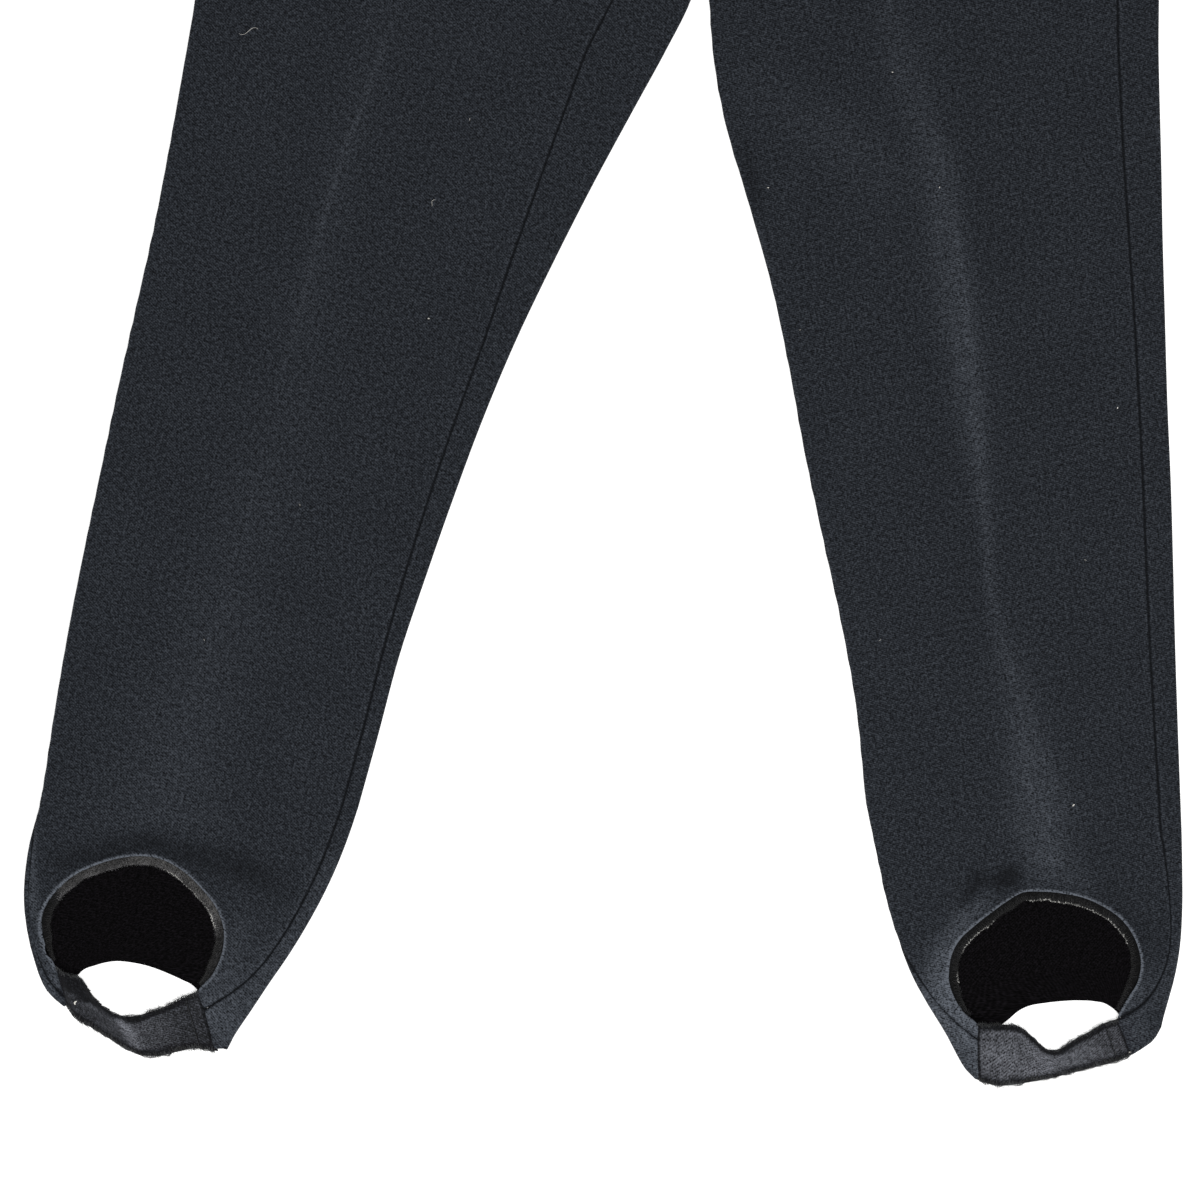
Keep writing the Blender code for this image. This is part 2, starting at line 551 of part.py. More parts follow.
def line_ways(grid, axis):
    """Direction of a grid's lines at each of its points, however unevenly they are spaced."""
    lines = np.moveaxis(grid, axis, 0)
    steps = np.diff(lines, axis=0)
    length = np.linalg.norm(steps, axis=2, keepdims=True)
    way = steps / length
    before, after = length[:-1], length[1:]
    ways = np.empty_like(lines)
    ways[1:-1] = (way[:-1] * after + way[1:] * before) / (before + after)
    ways[0] = 2 * way[0] - ways[1]
    ways[-1] = 2 * way[-1] - ways[-2]
    return np.moveaxis(ways, 0, axis)


def grid_mesh(name, middle, wall, material):
    """A wall of even thickness about a grid of middle points, closed at its rims."""
    normal = np.cross(line_ways(middle, 1), line_ways(middle, 0))
    normal /= np.linalg.norm(normal, axis=2, keepdims=True)
    outside, inside = middle + normal * wall / 2, middle - normal * wall / 2
    rows, columns = middle.shape[:2]
    points = np.concatenate([outside.reshape(-1, 3), inside.reshape(-1, 3)])
    faces = []

    def place(layer, i, j):
        return layer * rows * columns + i * columns + j

    for i in range(rows - 1):
        for j in range(columns - 1):
            corner = [(i, j), (i + 1, j), (i + 1, j + 1), (i, j + 1)]
            faces.append([place(0, a, b) for a, b in corner][::-1])
            faces.append([place(1, a, b) for a, b in corner])
    rim = [(0, j) for j in range(columns)] + [(i, columns - 1) for i in range(1, rows)]
    rim += [(rows - 1, j) for j in range(columns - 2, -1, -1)] + [(i, 0) for i in range(rows - 2, 0, -1)]
    for (a, b), (c, d) in zip(rim, rim[1:] + rim[:1]):
        faces.append([place(0, c, d), place(0, a, b), place(1, a, b), place(1, c, d)])
    return add_object(name, points, faces, material)


def add_object(name, points, faces, material):
    mesh = bpy.data.meshes.new(name)
    mesh.from_pydata([tuple(p) for p in points * MM], [], faces)
    mesh.validate()
    mesh.shade_smooth()
    mesh.set_sharp_from_angle(angle=math.radians(50))
    mesh.materials.append(material)
    thing = bpy.data.objects.new(name, mesh)
    bpy.context.collection.objects.link(thing)
    return thing


def material(name, srgb, roughness, metallic=0.0):
    made = bpy.data.materials.new(name)
    made.use_nodes = True
    shader = made.node_tree.nodes["Principled BSDF"]
    linear = [(c / 255 / 12.92) if c < 11 else ((c / 255 + 0.055) / 1.055) ** 2.4 for c in srgb]
    shader.inputs["Base Color"].default_value = (*linear, 1)
    shader.inputs["Roughness"].default_value = roughness
    shader.inputs["Metallic"].default_value = metallic
    made.diffuse_color = (*linear, 1)
    return made


def to_world(points):
    return points - [CENTRE_X, CENTRE_Y, 0]


def make_panels(leg, cloth):
    rows = leg.rows()
    for part, girths in (("front", leg.front_girths), ("back", leg.back_girths)):
        grid = np.array([leg.point(row, girths(row)) for row in rows])
        if (leg.side == "left") == (part == "front"):
            grid = grid[:, ::-1]
        grid_mesh(f"{part}_{leg.side}", to_world(grid), CLOTH, cloth)


def make_facing(leg, cloth):
    """The band that finishes the arch: its upper strip is under the front, and the rest shows."""
    low, high = leg.hem["arch_span"]
    shares = np.linspace(low + FACING_INSET, high - FACING_INSET, FACING_STATIONS)
    rim = leg.hem_rim("arch", shares)
    way = np.gradient(rim, axis=0)
    way /= np.linalg.norm(way, axis=1, keepdims=True)
    into_hole = np.column_stack([-way[:, 1], way[:, 0]]) * leg.sign
    taper = ease((shares - low) / FACING_TAPER) * ease((high - shares) / FACING_TAPER)
    rows = []
    for place in (-FACING_UNDER, 0.0, FACING_SHOWS / 2, FACING_SHOWS):
        reach = place * (0.35 + 0.65 * taper) if place > 0 else np.full(len(shares), place)
        level = FACING_LEVEL - FACING_DROP * max(place, 0) / FACING_SHOWS
        rows.append(np.column_stack([rim + reach[:, None] * into_hole, np.full(len(shares), level)]))
    grid = np.array(rows)
    if leg.side == "right":
        grid = grid[:, ::-1]
    grid_mesh(f"instep_facing_{leg.side}", to_world(grid), FACING_WALL, cloth)


def make_strap(leg, cloth):
    """A band from tab to tab, down on the surface between them."""
    sizes = STRAPS[leg.side]
    shares = np.linspace(0, 1, STRAP_STATIONS)
    edges = []
    for k, name in enumerate(("toe", "heel")):
        line = np.array([leg.tab_end("outer")[k], *sizes[name], leg.tab_end("inner")[k]])
        edges.append(path_read(shares, along(line), line))
    toe, heel = edges
    out0, out1, in0, in1 = sizes["drop"]
    held = np.maximum(1 - ease((shares - out0) / (out1 - out0)), ease((shares - in0) / (in1 - in0)))
    level = STRAP_WALL / 2 + (HIGH - STRAP_WALL / 2) * held
    across = np.linspace(0, 1, STRAP_LINES)
    grid = np.array([np.column_stack([toe + (heel - toe) * v, level]) for v in across])
    if leg.side == "right":
        grid = grid[:, ::-1]
    grid_mesh(f"stirrup_{leg.side}", to_world(grid), STRAP_WALL, cloth)


def waistband_path():
    """The band's middle line in plan and height, from the end on top, round the back, to the end below."""
    low, high = BAND_WALL / 2, BAND_WALL / 2 + 2 * FOLD
    reach_out = FOLD + BAND_WALL / 2
    centre = table_read(BODY, BODY_COLUMNS, "centre", WAIST_SEAM)
    left = table_read(BODY, BODY_COLUMNS, "outer_left", WAIST_SEAM) - reach_out
    right = table_read(BODY, BODY_COLUMNS, "outer_right", WAIST_SEAM) + reach_out
    lap = high + BAND_WALL + SEAM
    places = []
    start = centre + BAND_LAP_LEFT
    under_end = centre - BAND_LAP_RIGHT
    for share in np.linspace(0, 1, 5):
        places.append((start + (under_end - start) * share, lap))
    for share in np.linspace(0, 1, 7)[1:]:
        x = under_end - BAND_LAP_RISE * share
        places.append((x - BAND_WALL, lap + (high - lap) * ease(share)))
    for x in np.linspace(under_end - BAND_LAP_RISE - BAND_WALL, right, 8)[1:]:
        places.append((x, high))
    for angle in np.linspace(0, math.pi, 7)[1:]:
        places.append((right - FOLD * math.sin(angle), low + FOLD + FOLD * math.cos(angle)))
    for x in np.linspace(right, left, 6)[1:]:
        places.append((x, low))
    for angle in np.linspace(0, math.pi, 7)[1:]:
        places.append((left + FOLD * math.sin(angle), low + FOLD - FOLD * math.cos(angle)))
    for x in np.linspace(left, under_end, 9)[1:]:
        places.append((x, high))
    return np.array(places)


def make_waistband(cloth):
    path = waistband_path()
    centre = table_read(BODY, BODY_COLUMNS, "centre", WAIST_SEAM)
    rows = []
    for y in np.linspace(WAIST_SEAM, WAISTBAND_TOP, 4):
        narrower = 1 - BAND_NARROWS * (y - WAIST_SEAM) / (WAISTBAND_TOP - WAIST_SEAM)
        x = centre + (path[:, 0] - centre) * narrower
        rows.append(np.column_stack([x, np.full(len(x), y), path[:, 1]]))
    grid_mesh("waistband", to_world(np.array(rows)), BAND_WALL, cloth)
    return path[0][1] + BAND_WALL / 2


def make_button(level, plastic):
    """A turned disc with a raised rim, flat below, on the lap of the waistband."""
    outer, dish = BUTTON_RADIUS, BUTTON_RADIUS - 2 * BUTTON_RIM
    top, hollow = BUTTON_THICK, BUTTON_THICK - BUTTON_DISH
    profile = [(outer - 1.0, 0.0), (outer, 0.9), (outer, top - 0.7), (outer - 0.7, top),
               (outer - BUTTON_RIM, top), (dish, hollow)]
    sides = 32
    angle = np.arange(sides) * 2 * math.pi / sides
    circle = np.column_stack([np.cos(angle), np.sin(angle)])
    rings = [np.column_stack([r * circle, np.full(sides, z)]) for r, z in profile]
    points = np.concatenate(rings)
    faces = [list(range(sides))[::-1]]
    for i in range(len(profile) - 1):
        for j in range(sides):
            k = (j + 1) % sides
            faces.append([i * sides + j, i * sides + k, (i + 1) * sides + k, (i + 1) * sides + j])
    faces.append([(len(profile) - 1) * sides + j for j in range(sides)])
    centre = table_read(BODY, BODY_COLUMNS, "centre", WAIST_SEAM)
    place = [centre + BUTTON_OFF_CENTRE, (WAIST_SEAM + WAISTBAND_TOP) / 2, level + SEAM]
    add_object("button", to_world(points + place), faces, plastic)


def main():
    clear_scene()
    twill = material("black_twill", (42, 46, 51), 0.86)
    strap_cloth = material("strap_twill", (70, 73, 78), 0.9)
    facing_cloth = material("facing_twill", (58, 62, 68), 0.88)
    plastic = material("button_plastic", (30, 31, 34), 0.35)
    for side in ("right", "left"):
        leg = Leg(side)
        make_panels(leg, twill)
        make_facing(leg, facing_cloth)
        make_strap(leg, strap_cloth)
    level = make_waistband(twill)
    make_button(level, plastic)


main()
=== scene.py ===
"""Looks of a pair of stirrup trousers of black stretch twill, laid flat with the front up.

The cloth is made again as fine shells on the same tables as the solids, and then gets its weave,
wear, painted light and shade, pressed creases, overlocked edges, stitches and lint. Sizes are in
millimetres until MM turns them into metres. Lay coordinates start at the fork; to_world turns them into
the part's frame.
"""

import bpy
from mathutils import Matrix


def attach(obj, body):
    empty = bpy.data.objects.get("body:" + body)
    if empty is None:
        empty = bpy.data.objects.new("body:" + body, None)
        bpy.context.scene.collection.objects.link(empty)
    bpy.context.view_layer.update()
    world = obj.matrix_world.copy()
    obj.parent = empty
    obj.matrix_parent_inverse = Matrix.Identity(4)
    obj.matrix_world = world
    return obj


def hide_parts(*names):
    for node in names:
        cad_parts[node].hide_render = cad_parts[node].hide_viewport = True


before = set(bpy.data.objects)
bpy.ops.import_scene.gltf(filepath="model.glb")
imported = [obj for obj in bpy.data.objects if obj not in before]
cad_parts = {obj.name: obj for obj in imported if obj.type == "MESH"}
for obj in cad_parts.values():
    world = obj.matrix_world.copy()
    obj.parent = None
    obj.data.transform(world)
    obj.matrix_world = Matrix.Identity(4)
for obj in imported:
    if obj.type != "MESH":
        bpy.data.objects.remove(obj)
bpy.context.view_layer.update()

import math

import bmesh
import bpy
import numpy as np
from mathutils import Matrix, Vector, noise
from mathutils.bvhtree import BVHTree

MM = 0.001

# Cloth and seams
CLOTH = 1.2  # wall of a panel
SEAM = 0.34  # two pieces are this far apart where a seam joins them
FOLD = 1.5  # radius of a side fold, to the middle of the wall
SILHOUETTE = FOLD + CLOTH / 2  # a side fold's outer radius
LOW = CLOTH / 2  # height of the middle of the cloth that lies on the surface
HIGH = LOW + 2 * FOLD  # height of the middle of the upper layer at a side fold

# Body of the trousers, above the fork
WAIST_SEAM = 262.0  # the waistband is sewn on here, measured up from the fork
WAISTBAND_TOP = 300.0
FORK_EASE, FORK_REACH = 0.8, 24.0  # the inseam's gap widens by this much over this far below the fork
BACK_TURN = 2.6  # width next to the back seam that turns into the inner fold below the fork
HIDDEN_SEAM = -2.3  # a seam half way round a side fold
BODY_COLUMNS = ("y", "outer_right", "outer_left", "centre", "outseam_left")
BODY = [
    (0, -308.0, 283.5, 0.0, 26.5),
    (40, -302.0, 276.5, -3.5, 26.0),
    (90, -290.0, 264.0, -8.0, 25.0),
    (140, -274.0, 248.0, -11.0, 24.0),
    (200, -249.5, 224.0, -12.5, 22.0),
    (262, -224.0, 199.0, -12.5, 21.0),
]

# Legs: outlines of the side folds, and how far the seams lie in from them on the upper layer
LEG_COLUMNS = ("y", "outer", "inner", "outseam", "inseam", "crease")
LEG_RIGHT = [
    (0, -308.0, -0.4, 0, 0.0, -170),
    (-5, -308.5, -0.6, 0, 0.8, -171),
    (-14, -309.2, -2.0, 0, 18.0, -174),
    (-30, -311.0, -6.0, 0, 47.0, -179),
    (-60, -312.5, -17.8, 0, 47.0, -189),
    (-100, -315.7, -35.2, 0, 41.0, -199),
    (-150, -320.0, -56.6, 0, 32.6, -212),
    (-200, -325.0, -76.5, 0, 25.5, -221),
    (-250, -331.5, -95.0, 0, 19.0, -231),
    (-300, -338.0, -110.8, 0, 16.2, -239),
    (-350, -343.8, -124.4, 0, 14.8, -247),
    (-400, -349.6, -137.0, 0, 13.0, -256),
    (-450, -354.8, -148.8, 0, 10.6, -267),
    (-500, -358.8, -157.4, 0, 10.0, -278),
    (-545, -361.5, -165.5, 0, 10.0, -288),
]
LEG_LEFT = [
    (0, 283.5, 0.4, 26.5, 0, 108),
    (-12, 284.5, 2.6, 26.2, 0, 114),
    (-30, 286.0, 5.8, 25.8, 0, 124),
    (-60, 289.3, 10.8, 25.0, 0, 139),
    (-100, 294.0, 21.5, 24.0, 0, 154),
    (-150, 299.5, 41.0, 21.5, 0, 168),
    (-200, 305.5, 60.0, 19.6, 0, 179),
    (-250, 311.5, 75.5, 18.2, 0, 189),
    (-300, 318.2, 89.4, 17.8, 0, 198),
    (-350, 324.2, 104.8, 17.2, 0, 207),
    (-400, 330.0, 120.6, 16.2, 0, 221),
    (-450, 336.2, 134.6, 15.0, 0, 238),
    (-515, 344.5, 147.5, 13.4, 0, 252),
]
HEM_STARTS = {"right": -545.0, "left": -515.0}

# Hems: from the last straight section of a leg to its arch, its strap seams and its heel edge.
# Columns of an edge are x and y; of a rim, share of the way from the outer to the inner fold, x and y.
# A seam's columns are share of the way down the hem and distance in from its side fold on the upper
# layer. The arch span and the heel corners are the shares of the rim where the strap's seams begin and
# end.
HEM = {
    "right": {
        "outer": [(-361.5, -545), (-363, -562), (-366, -581), (-367.6, -601), (-367, -621),
                  (-363.2, -641), (-356.5, -660), (-347.5, -677), (-336, -685.5)],
        "inner": [(-165.5, -545), (-169.2, -561), (-174.5, -580), (-181.5, -600), (-190, -620),
                  (-199.8, -640), (-211, -660), (-221.8, -680), (-229.5, -694), (-233, -703)],
        "arch": [(0.0, -336, -685.5), (0.03, -339.4, -673.5), (0.055, -343.2, -662),
                 (0.085, -350, -652.5),
                 (0.115, -354.4, -640.5), (0.145, -354.4, -628), (0.18, -349, -616),
                 (0.22, -338.5, -604.8),
                 (0.275, -324.5, -596.2), (0.335, -311, -590.8), (0.40, -297.5, -588),
                 (0.47, -283.5, -589),
                 (0.54, -269.5, -595.3), (0.61, -256.4, -606), (0.67, -247.3, -616.2),
                 (0.72, -242, -627.5),
                 (0.765, -241, -639), (0.81, -243.4, -650.5), (0.85, -247.8, -660), (0.885, -254, -668),
                 (0.92, -249.6, -679), (0.955, -244.6, -692), (0.98, -240.6, -702.6),
                 (1.0, -233, -703)],
        "arch_span": (0.055, 0.885),
        "heel_corners": (0.0, 0.98),
        "heel": [(0.0, -336, -685.5), (0.06, -333.8, -674), (0.13, -328.4, -663.6),
                 (0.22, -319, -658.2),
                 (0.32, -308, -654.8), (0.42, -297, -654.6), (0.52, -286, -656), (0.62, -275, -659),
                 (0.71, -265.5, -662.3), (0.79, -257, -666), (0.87, -248, -676.5), (0.94, -240, -690),
                 (1.0, -233, -703)],
        "outseam": [(0.0, HIDDEN_SEAM), (0.25, HIDDEN_SEAM), (0.5, 0.6), (0.75, 1.8), (1.0, 2.6)],
        "inseam": [(0.0, 7.9), (0.4, 7.2), (0.75, 8.6), (1.0, 15.2)],
    },
    "left": {
        "outer": [(344.5, -515), (347, -538), (349.2, -562), (349.8, -588), (347.6, -610), (344, -628),
                  (342.3, -639), (338, -646.2), (331.5, -651.4), (326, -655.5)],
        "inner": [(147.5, -515), (153.5, -534), (159.8, -555), (166.2, -575), (173, -592), (181, -609),
                  (190, -625), (200, -639), (210.5, -653), (218, -665), (224.5, -674), (231.3, -679.5)],
        "arch": [(0.0, 326, -655.5), (0.03, 320.6, -644.5), (0.06, 315.2, -633.6), (0.085, 319, -622.8),
                 (0.115, 324.4, -612.5), (0.15, 326.5, -602), (0.19, 325, -591.5),
                 (0.235, 319.5, -580.5),
                 (0.285, 311.5, -571.8), (0.34, 301, -565.6), (0.40, 288, -561), (0.465, 274, -559.3),
                 (0.525, 261, -559.3), (0.575, 249.8, -560.8), (0.625, 241, -566.6),
                 (0.68, 231, -575.3),
                 (0.735, 220.5, -585.3), (0.775, 213.5, -593.2), (0.81, 209.4, -602),
                 (0.845, 208.2, -612.4),
                 (0.88, 209.8, -623), (0.905, 214.5, -632), (0.925, 221, -639.5),
                 (0.937, 228.4, -643.6),
                 (0.94, 229.4, -644.4), (0.944, 229.6, -646.6), (0.957, 230, -654), (0.98, 231, -669),
                 (1.0, 231.3, -679.5)],
        "arch_span": (0.06, 0.94),
        "heel_corners": (0.0, 1.0),
        "heel": [(0.0, 326, -655.5), (0.05, 323, -643), (0.11, 317, -632), (0.18, 309, -626),
                 (0.27, 300, -624.4), (0.36, 290, -624.8), (0.46, 281, -626), (0.56, 270, -628.2),
                 (0.65, 260, -631), (0.72, 253.5, -635), (0.78, 247.6, -641), (0.84, 241.4, -647),
                 (0.89, 236.4, -654), (0.94, 233, -665), (1.0, 231.3, -679.5)],
        "outseam": [(0.0, 11.3), (0.4, 8.6), (0.7, 6.4), (0.9, 9.0), (1.0, 11.5)],
        "inseam": [(0.0, HIDDEN_SEAM), (0.6, HIDDEN_SEAM), (0.8, 1.0), (1.0, 8.2)],
    },
}

# Straps, from the outer to the inner tab: columns are x and y of each edge.
# The drop gives the shares of the length where a strap leaves a tab's level and where it lies down.
STRAP_WALL = 1.4
STRAP_OFF_TAB = 0.75
STRAP_CORNER = 1.8  # how far its heel corners reach past the tabs' last seam point
STRAPS = {
    "right": {
        "toe": [(-334.5, -665.5), (-327.5, -667), (-323.6, -672.3), (-319, -678), (-312, -683.8),
                (-303.5, -687.6), (-295, -688), (-282.1, -683.6), (-269, -677), (-261, -672)],
        "heel": [(-327.5, -692), (-320, -695.8), (-309, -701.6), (-298, -707), (-289, -710.6),
                 (-276, -711), (-263, -706.8), (-252, -703.6)],
        "drop": (0.08, 0.36, 0.66, 0.93),
    },
    "left": {
        "toe": [(308, -636.6), (299, -643), (290, -649.4), (280.5, -656.2), (274, -656.8),
                (264, -650), (255.5, -644.2), (244, -643.6)],
        "heel": [(317, -659.8), (305, -664.6), (293, -669), (280, -673.6), (267, -677.4),
                 (254, -680.4), (243, -681.6)],
        "drop": (0.05, 0.32, 0.62, 0.88),
    },
}

# Folds of the upper layer: two ends, height at the middle and half width
FOLD_COLUMNS = ("x0", "y0", "x1", "y1", "height", "width")
SOFT_FOLDS = {
    "right": [
        (-296, 10, -262, -150, 1.3, 17),
        (-120, 5, -150, -120, 1.2, 15),
        (-300, -200, -240, -330, 0.9, 16),
        (-165, -230, -205, -350, 0.8, 13),
        (-315, -420, -250, -520, 0.8, 14),
        (-205, -500, -232, -600, 0.9, 10),
    ],
    "left": [
        (250, 20, 262, -140, 1.3, 16),
        (60, 15, 96, -110, 1.1, 14),
        (140, -215, 212, -330, 0.9, 16),
        (280, -330, 262, -450, 0.8, 14),
        (185, -440, 206, -560, 0.9, 11),
        (310, -470, 326, -560, 0.7, 10),
    ],
}
CROWN_BODY, CROWN_HEM = 2.6, 1.4  # air between the layers, at the fork and at the hem
CROWN_REACH = 34.0  # how far in from a side fold the upper layer takes to rise
CREASE_HEIGHT, CREASE_WIDTH = 0.9, 3.2
CREASE_TOP, CREASE_TOP_FADE = 90.0, 140.0  # the crease ends here in the body, and fades over this much
CREASE_FOOT, CREASE_FOOT_FADE = -640.0, 200.0
LIP_HEIGHT, LIP_WIDTH = 1.1, 4.5  # the rolled edge of an arch
LIP_HOLLOW = 12.0  # width of the low band behind it
LIP_ENDS, LIP_PLACES = 0.06, 90  # it fades over this share of the rim
LIP_ROOM = 24.0  # it is lower where the cloth beside the arch is narrower than this

# Bands inside the arches
FACING_WALL = 0.8
FACING_SHOWS = 5.6
FACING_LEVEL, FACING_DROP = 2.28, 0.28
FACING_INSET, FACING_TAPER = 0.012, 0.06  # shares of the rim

# Waistband and button
BAND_WALL = 2.0
BAND_LAP_LEFT, BAND_LAP_RIGHT = 24.0, 16.0  # how far its ends reach past the centre front
BAND_LAP_RISE = 26.0
BAND_NARROWS = 0.028  # share of its length that it loses from its seam to its top
BUTTON_RADIUS, BUTTON_THICK, BUTTON_RIM, BUTTON_DISH = 9.0, 2.6, 1.6, 0.8
BUTTON_OFF_CENTRE = 4.0

# The lay coordinates of the middle of the whole garment
CENTRE_X, CENTRE_Y = -8.78, -205.62

# Rows and columns of the fine shells
BODY_ROWS = (*np.linspace(WAIST_SEAM - SEAM, 14.0, 30), 8.0, 3.0)
LEG_STEP = 8.0
FORK_ROWS = (0.0, -1.5, -3.0, -4.0, -5.0, -6.0, -7.0, -8.2, -9.5, -11.0, -13.0, -16.0, -20.0,
             -26.0, -34.0)
HEM_PULL = 0.3  # share of the width over which a hem's rows follow its curved sides
PATCH_ROWS, PATCH_PLACES, PATCH_ROUNDS = 41, 161, 700
SLIDE_EVERY, SLIDE_EASE, SLIDE_GAP, FOLD_PLACES = 4, 0.3, 0.004, 301
HEM_ROWS = (*np.linspace(0, 0.9, 28), 0.92, 0.94, 0.955, 0.968, 0.978, 0.986, 0.992, 0.996, 0.9985, 1.0)
FRONT_ENDS = (0.0, 0.001, 0.0025, 0.005, 0.009, 0.014, 0.02, 0.027, *np.linspace(0.035, 0.2, 19))
FRONT_MIDDLE = 76
ARC_STEPS = 9
TOP_STEPS = (0.02, 0.05, 0.1, 0.16, 0.24, 0.33, 0.42, 0.51, 0.6, 0.69, 0.78, 0.87, 0.94, 0.98, 1.0)
UNDER_STEPS = 60

# Creases that wear has left in the upper layer: two ends, height at the middle, half
# width. Heights below 0 are hollows. Between them the cloth swells and quivers, and its under layer is
# lifted off the surface in places.
RIPPLE_COLUMNS = ("x0", "y0", "x1", "y1", "height", "half")
RIPPLES = {
    "right": [
        (-22, -4, -92, -62, -0.9, 7),
        (-18, -20, -78, -92, 0.6, 6),
        (-34, 14, -128, -18, -0.7, 9),
        (-52, 40, -150, 22, 0.5, 10),
        (-300, -96, -232, -128, -0.6, 10),
        (-308, -176, -262, -196, 0.45, 8),
        (-120, -262, -186, -290, -0.6, 8),
        (-134, -300, -206, -322, 0.5, 9),
        (-324, -318, -262, -306, -0.55, 9),
        (-336, -372, -286, -352, 0.4, 8),
        (-172, -392, -232, -408, -0.35, 10),
        (-350, -466, -300, -452, -0.4, 9),
        (-334, -575, -222, -583, -0.9, 6),
        (-214, -560, -240, -640, -0.5, 7),
    ],
    "left": [
        (20, -2, 84, -48, -0.9, 7),
        (24, 18, 118, 2, -0.6, 9),
        (40, -34, 96, -96, 0.55, 7),
        (276, -84, 214, -122, -0.6, 10),
        (290, -168, 246, -184, 0.4, 8),
        (96, -248, 166, -282, -0.55, 8),
        (104, -300, 178, -316, 0.45, 9),
        (304, -300, 252, -292, -0.5, 9),
        (318, -356, 272, -338, 0.4, 8),
        (150, -402, 214, -416, -0.35, 10),
        (330, -452, 288, -440, -0.4, 9),
        (252, -540, 214, -560, -0.5, 8),
        (208, -578, 174, -632, -1.3, 7),
        (196, -600, 168, -612, 0.5, 8),
    ],
}
SWELL, QUIVER, HOLLOW = 0.55, 0.2, 1.5


def smooth_read(at, known, values):
    """Values between the rows of a table, on a curve with no overshoot."""
    known, values = np.asarray(known, float), np.asarray(values, float)
    if known[0] > known[-1]:
        known, values = known[::-1], values[::-1]
    step = np.diff(known)
    slope = np.diff(values) / step
    bend = np.zeros(len(known))
    same_way = slope[:-1] * slope[1:] > 0
    weight = step[:-1] + step[1:]
    mean = (slope[:-1] * step[1:] + slope[1:] * step[:-1]) / weight
    limit = 3 * np.minimum(abs(slope[:-1]), abs(slope[1:]))
    bend[1:-1] = np.where(same_way, np.sign(mean) * np.minimum(abs(mean), limit), 0)
    bend[0], bend[-1] = slope[0], slope[-1]
    at = np.clip(at, known[0], known[-1])
    i = np.clip(np.searchsorted(known, at, side="right") - 1, 0, len(step) - 1)
    t = (at - known[i]) / step[i]
    ends = values[i] * (1 + 2 * t) * (1 - t) ** 2 + values[i + 1] * t * t * (3 - 2 * t)
    return ends + step[i] * (bend[i] * t * (1 - t) ** 2 - bend[i + 1] * t * t * (1 - t))


def path_read(at, known, points):
    """Points along a smooth line through some points, with a share known for each."""
    known, points = np.asarray(known, float), np.asarray(points, float)
    tangent = np.gradient(points, known, axis=0)
    at = np.clip(at, 0, 1)
    i = np.clip(np.searchsorted(known, at, side="right") - 1, 0, len(known) - 2)
    step = (known[i + 1] - known[i])[:, None]
    t = (at[:, None] - known[i][:, None]) / step
    ends = points[i] * (1 + 2 * t) * (1 - t) ** 2 + points[i + 1] * t * t * (3 - 2 * t)
    return ends + step * (tangent[i] * t * (1 - t) ** 2 - tangent[i + 1] * t * t * (1 - t))


def along(points):
    """The share of a line's length at each of its points."""
    run = np.concatenate([[0], np.cumsum(np.linalg.norm(np.diff(points, axis=0), axis=1))])
    return run / run[-1]


def table_read(table, columns, name, y):
    rows = np.array(table, float)
    return smooth_read(np.atleast_1d(float(y)), rows[:, 0], rows[:, columns.index(name)])[0]


def ease(t):
    t = np.clip(t, 0, 1)
    return t * t * (3 - 2 * t)


